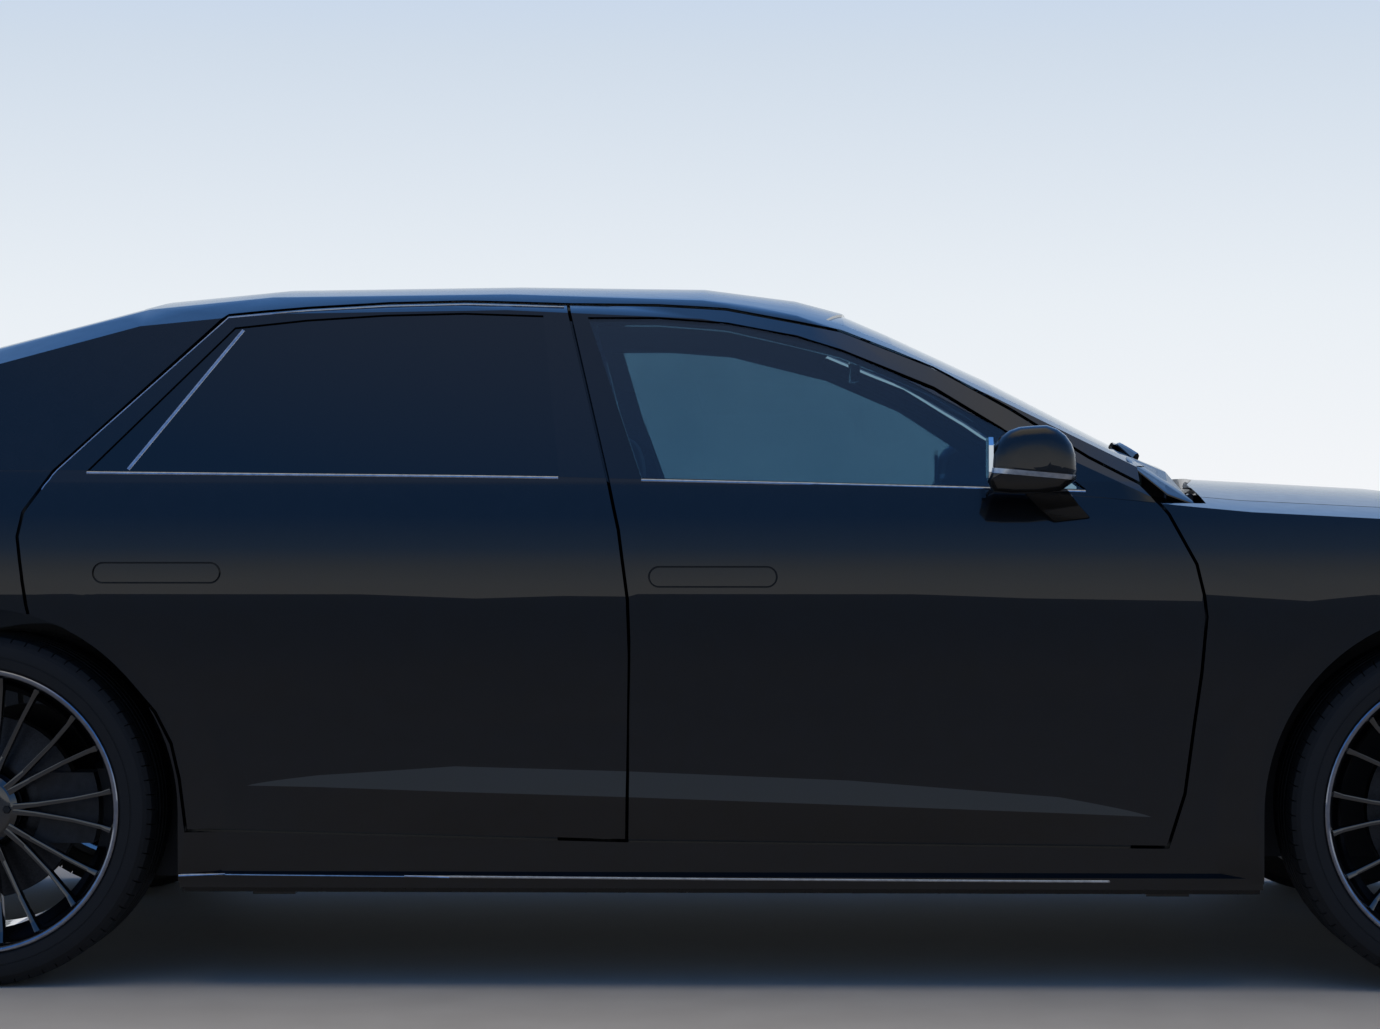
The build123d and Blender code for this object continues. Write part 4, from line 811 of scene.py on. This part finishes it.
def ring_of(source_mesh, count, centre, material):
    """A plain mesh with a source repeated round a wheel's axle."""
    source = bpy.data.objects.new("source", source_mesh)
    holder = bpy.data.objects.new("holder", bpy.data.meshes.new("holder"))
    for thing in (source, holder):
        bpy.context.scene.collection.objects.link(thing)
    modifier = holder.modifiers.new("ring", "NODES")
    modifier.node_group = RING_TREE
    sockets = {item.name: item.identifier for item in RING_TREE.interface.items_tree
               if item.in_out == "INPUT"}
    modifier[sockets["Source"]] = source
    modifier[sockets["Count"]] = count
    modifier[sockets["Centre"]] = centre
    modifier[sockets["Finish"]] = material
    bpy.context.view_layer.update()
    evaluated = holder.evaluated_get(bpy.context.evaluated_depsgraph_get())
    mesh = bpy.data.meshes.new_from_object(evaluated)
    for thing in (source, holder):
        bpy.data.objects.remove(thing)
    return mesh


def spoke_pair(side):
    """Two slender spokes that leave the hub together and part towards the rim, about the Y axis."""
    pitch = math.tau / SPOKE_PAIRS
    outward = Vector((0, side, 0))
    work = bmesh.new()
    for way in (-1, 1):
        rings = []
        for radius, share, half, face, back in SPOKE_STATIONS:
            turn = way * share * pitch
            middle = Vector((math.cos(turn), 0, math.sin(turn))) * radius
            across = Vector((-math.sin(turn), 0, math.cos(turn))) * half
            rings.append([
                middle + across + outward * back, middle + across * SPOKE_FACE_SHARE + outward * face,
                middle - across * SPOKE_FACE_SHARE + outward * face, middle - across + outward * back])
        work.from_mesh(block(rings, SPOKE_EDGE))
    return as_mesh(work, "spoke_pair")


def bolt_head(side):
    """One wheel bolt's head beside the Y axis."""
    rings = []
    for y, grow in ((BOLT_FOOT, 1.0), (BOLT_TOP - BOLT_CHAMFER, 1.0), (BOLT_TOP, BOLT_TOP_SHARE)):
        ring = []
        for i in range(BOLT_SIDES):
            turn = math.tau * i / BOLT_SIDES
            reach = BOLT_RADIUS * grow
            ring.append(Vector((BOLT_CIRCLE + reach * math.cos(turn), side * y, reach * math.sin(turn))))
        rings.append(ring)
    return block(rings)


def tread_block(side):
    """One block of a tyre's shoulder, about the Y axis."""
    rings = []
    for shift in (-TREAD_HALF, TREAD_HALF):
        rings.append([Vector((shift + side * (y - TREAD_SLANT_PLACE) * TREAD_SLANT, side * y,
                              math.sqrt(r * r - shift * shift))) for r, y in TREAD_PROFILE])
    return block(rings)


def wheel(corner, side):
    """The pieces of the wheel at one corner of the car."""
    body = f"wheel_{corner}"
    rubber = MATERIALS["tyre_rubber"]
    enamel = MATERIALS["rim_metal"]
    low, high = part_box(f"tyre_{corner}")
    centre = (low + high) / 2
    carcass = list(TYRE_HALF_PROFILE) + [(r, -y) for r, y in reversed(TYRE_HALF_PROFILE)]
    place(revolved(carcass, centre), f"tyre_carcass_{corner}", rubber, body, "tyre_rubber", f"tyre_{corner}")
    for row, way in (("outer", side), ("inner", -side)):
        blocks = ring_of(tread_block(way), TREAD_BLOCKS, centre, rubber)
        place(blocks, f"tread_{row}_{corner}", rubber, body, "tyre_rubber")
    spokes = ring_of(spoke_pair(side), SPOKE_PAIRS, centre, enamel)
    place(spokes, f"spokes_{corner}", enamel, body, "rim_metal", f"rim_{corner}")
    for part, profile, material in (
            ("rim", RIM_PROFILE, enamel), ("lip", LIP_PROFILE, SMOKED_LIP), ("hub", HUB_PROFILE, enamel),
            ("cap", CAP_PROFILE, enamel), ("disc", DISC_PROFILE, TURNED_IRON)):
        place(revolved(profile, centre), f"{part}_{corner}_face", material, body, "rim_metal")
    bolts = ring_of(bolt_head(side), BOLT_COUNT, centre, TURNED_IRON)
    place(bolts, f"bolts_{corner}", TURNED_IRON, body, "rim_metal")


def wheels():
    """Spoked rims with lips, hubs, bolts and discs, and tyres with ribs and shoulder blocks."""
    for end in ENDS:
        for name, side in SIDES.items():
            wheel(f"{end}_{name}", side)


def mirror_outline(grow):
    """Side view of the mirror housing as (x, z), grown or shrunk about its middle."""
    points = []
    for i in range(MIRROR_ARCH_STEPS + 1):
        angle = math.pi * i / MIRROR_ARCH_STEPS
        reach, height = MIRROR_ARCH_FRONT if angle < math.pi / 2 else MIRROR_ARCH_REAR
        out = math.copysign(abs(math.cos(angle)) ** MIRROR_ARCH_POWERS[0], math.cos(angle))
        up = abs(math.sin(angle)) ** MIRROR_ARCH_POWERS[1]
        points.append((MIRROR_ARCH_MIDDLE[0] + out * reach, MIRROR_ARCH_MIDDLE[1] + up * height))
    middle_x, middle_z = MIRROR_MIDDLE
    return [(middle_x + (x - middle_x) * grow, middle_z + (z - middle_z) * grow)
            for x, z in points + list(MIRROR_UNDERSIDE)]


def mirror_slice(side, low, high, swell):
    """The slice of the mirror housing between two heights, pushed outwards by a little."""
    work = loft([[Vector((x, side * y, z)) for x, z in mirror_outline(grow)] for y, grow in MIRROR_STATIONS])
    bmesh.ops.recalc_face_normals(work, faces=work.faces)
    keep_between(work, low, high, MIRROR_MIDDLE[0], MIRROR_PLANE, closed=True)
    if swell:
        middle = Vector((MIRROR_MIDDLE[0], side * MIRROR_MIDDLE_Y, 0))
        for vertex in work.verts:
            away = Vector((vertex.co.x - middle.x, vertex.co.y - middle.y, 0))
            vertex.co += away.normalized() * swell
    return finish_mesh(work, HOUSING_ANGLE)


def mirrors():
    """Door mirrors: painted cap, black seam, bright band, black base, foot and glass."""
    trim = MATERIALS["dark_trim"]
    finishes = {"cap": (MATERIALS["paint"], "paint"), "seam": (trim, "dark_trim"),
                "band": (BRIGHT_STRIP, "rim_metal"), "base": (trim, "dark_trim")}
    for name, side in SIDES.items():
        body = f"door_front_{name}"
        for part, low, high, swell in MIRROR_SLICES:
            material, slot = finishes[part]
            replaced = [f"mirror_{name}"] if part == "cap" else []
            place(mirror_slice(side, low, high, swell), f"mirror_{part}_{name}", material, body, slot,
                  *replaced)
        foot = [[Vector((x, side * y, z)) for x, y, z in ring] for ring in MIRROR_FOOT]
        place(block(foot, MIRROR_FOOT_EDGE), f"mirror_foot_{name}", trim, body, "dark_trim")
        middle_y, middle_z = MIRROR_GLASS_MIDDLE
        half_y, half_z = MIRROR_GLASS_HALF
        glass = [[Vector((x, side * (middle_y + half_y * u), middle_z + half_z * v))
                  for u, v in MIRROR_GLASS_OUTLINE] for x in MIRROR_GLASS_FACES]
        place(block(glass), f"mirror_glass_{name}", SILVERED, body, "rim_metal")


def rounded(points):
    """A closed outline with its corners cut round, each time at a quarter of both sides."""
    for _ in range(CORNER_CUTS):
        cut = []
        for (x0, z0), (x1, z1) in zip(points, points[1:] + points[:1]):
            cut += [(x0 * (1 - share) + x1 * share, z0 * (1 - share) + z1 * share) for share in (0.25, 0.75)]
        points = cut
    return points


def moved(outline, place_x, place_z):
    """An outline in millimetres about a seat's place as one in metres in the car."""
    return [((x + place_x) / 1000, (z + place_z) / 1000) for x, z in outline]


def groove(distance, depth):
    """How far a sewn groove sinks at a distance from its thread."""
    return depth * math.exp(-(distance / GROOVE_WIDTH) ** 2)


def pad(outline, middle, half, seam, channels, edge, crown):
    """A crowned cushion: a side outline drawn across y, with seams along it and sewn channels."""
    outline = rounded(outline)
    centre = Vector((sum(x for x, _ in outline) / len(outline), 0, sum(z for _, z in outline) / len(outline)))
    lengths = [0.0]
    for (x0, z0), (x1, z1) in zip(outline, outline[1:]):
        lengths.append(lengths[-1] + math.hypot(x1 - x0, z1 - z0))
    rings = []
    for i in range(PAD_RINGS):
        u = PAD_REACH * math.sin(math.pi / 2 * (2 * i / (PAD_RINGS - 1) - 1))
        inset = max(0.0, edge - half * (1 - abs(u)))
        pull = edge - math.sqrt(max(edge * edge - inset * inset, 0))
        if seam:
            pull += groove(half * (abs(u) - seam), SEAM_DEPTH)
        lift = crown * (1 - u * u)
        ring = []
        for (x, z), along in zip(outline, lengths):
            point = Vector((x, 0, z))
            dip = 0.0
            if seam and abs(u) < seam:
                pitch = lengths[-1] / channels
                dip = groove((along % pitch) - pitch / 2, CHANNEL_DEPTH)
            point += (point - centre).normalized() * (lift - pull - dip)
            ring.append(Vector((point.x, middle + half * u, point.z)))
        rings.append(ring)
    return finish_mesh(loft(rings), CUSHION_ANGLE)


def upholster(kind, pads, name, outline_place, edge, crown, stands_for):
    """The leather pads of a seat or of half the bench, whose cushion stands for some CAD nodes."""
    for part, (outline, across, half, seam, channels) in pads.items():
        middle = SIDES[name] * across
        mesh = pad(moved(outline, *outline_place), middle, half, seam, channels, edge, crown)
        replaced = stands_for if part == "cushion" else []
        piece = place(mesh, f"{kind}_{part}_{name}", MATERIALS["leather"], "body", "leather", *replaced)


def seats():
    """Front seats on their bases, with headrest posts, and the rear bench, as upholstered pads."""
    for name, side in SIDES.items():
        y = side * SEAT_ACROSS
        base = [[Vector((x, y + across, z)) for across in (-BASE_HALF_WIDTH, BASE_HALF_WIDTH)]
                + [Vector((x, y + across, z - BASE_DEPTH)) for across in (BASE_HALF_WIDTH, -BASE_HALF_WIDTH)]
                for x, z in BASE_ENDS]
        place(block(base, BASE_EDGE), f"seat_base_{name}", MATERIALS["soft_trim"], "body", "soft_trim")
        upholster("seat", SEAT_PADS, name, SEAT_PLACE, SEAT_EDGE, SEAT_CROWN, [f"front_seat_{name}"])
        posts = bmesh.new()
        for across in (-POST_HALF_SPACING, POST_HALF_SPACING):
            bmesh.ops.create_cone(posts, cap_ends=True, segments=POST_SIDES, radius1=POST_RADIUS,
                                  radius2=POST_RADIUS, depth=POST_LENGTH,
                                  matrix=Matrix.Translation((POST_X, y + across, POST_Z)))
        place(finish_mesh(posts), f"seat_posts_{name}", BRIGHT_STRIP, "body", "rim_metal")
        bench = ["rear_bench"] if name == "left" else []
        upholster("bench", BENCH_PADS, name, BENCH_PLACE, BENCH_EDGE, BENCH_CROWN, bench)


def cabin_fittings():
    """The screen and vents on the dashboard and the mirror behind the windscreen."""
    trim = MATERIALS["dark_trim"]
    screen = [[Vector((x, y, z)) for y, z in SCREEN_OUTLINE] for x in SCREEN_FACES]
    place(block(screen, SCREEN_EDGE), "dash_screen", trim, "body", "dark_trim")
    for i, y in enumerate(VENTS_ACROSS):
        fins = bmesh.new()
        for k in range(FIN_COUNT):
            bmesh.ops.create_cube(fins, size=1, matrix=Matrix.Translation((VENT_X, y, VENT_Z + k * FIN_PITCH))
                                  @ Matrix.Diagonal((*FIN_SIZE, 1)))
        place(finish_mesh(fins), f"vent_{i}", BRIGHT_STRIP, "body", "rim_metal")
    half_y, half_z = CABIN_MIRROR_HALF
    glass = [[Vector((x, half_y * u, CABIN_MIRROR_Z + half_z * v)) for u, v in CABIN_MIRROR_OUTLINE]
             for x in CABIN_MIRROR_FACES]
    place(block(glass, CABIN_MIRROR_EDGE), "cabin_mirror", trim, "body", "dark_trim")
    stem = [[Vector((x, y, z)) for y in (-STEM_HALF_WIDTH, STEM_HALF_WIDTH)]
            + [Vector((x + STEM_THICKNESS, y, z)) for y in (STEM_HALF_WIDTH, -STEM_HALF_WIDTH)]
            for x, z in STEM_ENDS]
    place(block(stem), "cabin_mirror_stem", trim, "body", "dark_trim")


def card_relief(from_rear, from_front, z):
    """How far a door card stands out at a place: a soft edge and an armrest."""
    near_edge = min(from_rear, from_front, z - CARD_FOOT, CARD_TOP - z)
    relief = CARD_THICKNESS + CARD_RISE * min(1.0, near_edge / CARD_RISE_WIDTH)
    level = math.exp(-((z - ARMREST_Z) / ARMREST_HALF_HEIGHT) ** 4)
    inside = min(1.0, max(0.0, min(from_rear, from_front) - ARMREST_INSET) / ARMREST_FADE)
    return relief + ARMREST_DEPTH * level * inside


def door_card(tree, rear, front, side):
    """A trim panel just clear of the inmost point of a door's inner face."""
    xs = [rear + (front - rear) * i / CARD_COLUMNS for i in range(CARD_COLUMNS + 1)]
    zs = [CARD_FOOT + (CARD_TOP - CARD_FOOT) * k / CARD_ROWS for k in range(CARD_ROWS + 1)]
    hits = [cast(tree, (x, 0, z), (0, side, 0))[0] for x in xs for z in zs]
    depth = min(abs(hit.y) for hit in hits if hit)
    work = bmesh.new()
    face = [[work.verts.new((x, side * (depth - card_relief(x - rear, front - x, z)), z)) for z in zs]
            for x in xs]
    back = [[work.verts.new((x, side * (depth - CARD_GAP), z)) for z in zs] for x in xs]
    for layer in (face, back):
        for a, b in zip(layer, layer[1:]):
            for k in range(CARD_ROWS):
                work.faces.new((a[k], a[k + 1], b[k + 1], b[k]))
    rim = [(i, 0) for i in range(CARD_COLUMNS)] + [(CARD_COLUMNS, k) for k in range(CARD_ROWS)]
    rim += [(i, CARD_ROWS) for i in range(CARD_COLUMNS, 0, -1)] + [(0, k) for k in range(CARD_ROWS, 0, -1)]
    for (i0, k0), (i1, k1) in zip(rim, rim[1:] + rim[:1]):
        work.faces.new((face[i0][k0], face[i1][k1], back[i1][k1], back[i0][k0]))
    return finish_mesh(work, CARD_ANGLE)


def door_cards():
    """Trim panels with armrests on the inner faces of the doors."""
    for name, side in SIDES.items():
        for end, (rear, front) in CARD_ENDS.items():
            card = door_card(surface_tree(f"door_{end}_{name}"), rear, front, side)
            place(card, f"door_card_{end}_{name}", MATERIALS["soft_trim"], f"door_{end}_{name}", "soft_trim")


def lamp_lenses():
    """Bright lenses in the faces of the headlamp covers."""
    tree = surface_tree("headlamps")
    for name, side in SIDES.items():
        work = bmesh.new()
        for k in range(LENS_COUNT):
            y = side * (LENS_START + LENS_PITCH * k)
            hit, normal = cast(tree, (AHEAD_OF_CAR, y, LENS_Z), (-1, 0, 0))
            turn = Vector((1, 0, 0)).rotation_difference(normal).to_matrix().to_4x4()
            bmesh.ops.create_cube(work, size=1, matrix=Matrix.Translation(hit) @ turn
                                  @ Matrix.Diagonal((*LENS_SIZE, 1)))
        place(finish_mesh(work), f"lamp_lenses_{name}", SILVERED, "body", "rim_metal")


def floor():
    """A plain pale floor, a little warm against the blue of the sky."""
    bpy.ops.mesh.primitive_plane_add(size=FLOOR_WIDTH, location=(0, 0, 0))
    plane = bpy.context.object
    plane.name = "floor"
    # Smooth concrete: pale and matte
    plane.data.materials.append(surface("smooth_concrete", "#948f87", "#99948c", (0.75, 0.9), patch=167))


def sky():
    """A clear sky all round: pale at the horizon, blue above it, warm overhead."""
    world = bpy.data.worlds.new("studio")
    bpy.context.scene.world = world
    world.use_nodes = True
    tree = world.node_tree
    tree.nodes.clear()
    out = tree.nodes.new("ShaderNodeOutputWorld")
    at = tree.nodes.new("ShaderNodeTexCoord").outputs["Generated"]
    height = add(tree, "ShaderNodeSeparateXYZ", Vector=at).outputs["Z"]
    node = add(tree, "ShaderNodeValToRGB", Fac=height)
    while len(node.color_ramp.elements) < len(SKY):
        node.color_ramp.elements.new(0.5)
    for element, (position, code) in zip(node.color_ramp.elements, SKY):
        element.position = position
        element.color = colour(code)
    background = add(tree, "ShaderNodeBackground", Color=node.outputs["Color"], Strength=1.0)
    tree.links.new(background.outputs["Background"], out.inputs["Surface"])


def overhead_light():
    """A soft warm light from above, which the paint doesn't mirror."""
    light = bpy.data.lights.new("overhead", "AREA")
    light.shape = "RECTANGLE"
    light.size = LIGHT_LENGTH
    light.size_y = LIGHT_WIDTH
    light.energy = LIGHT_POWER
    light.color = LIGHT_COLOUR
    lamp = bpy.data.objects.new("overhead", light)
    lamp.location = (0, 0, LIGHT_HEIGHT)
    lamp.visible_glossy = False
    bpy.context.scene.collection.objects.link(lamp)


def camera():
    """The photograph's camera."""
    data = bpy.data.cameras.new("camera")
    data.lens = CAMERA_LENS
    data.sensor_width = CAMERA_SENSOR
    data.shift_x = CAMERA_SHIFT_X
    data.shift_y = CAMERA_SHIFT_Y
    data.clip_end = CAMERA_REACH
    eye = bpy.data.objects.new("camera", data)
    eye.location = CAMERA_PLACE
    eye.rotation_euler = (math.pi / 2, 0, CAMERA_YAW)
    bpy.context.scene.collection.objects.link(eye)
    bpy.context.scene.camera = eye
    bpy.context.scene.view_settings.view_transform = "Standard"


dress_frame()
window_trims()
skirt_lines()
cowl_covers()
wipers()
exhaust_trims()
wheels()
mirrors()
seats()
cabin_fittings()
door_cards()
lamp_lenses()
floor()
sky()
overhead_light()
camera()
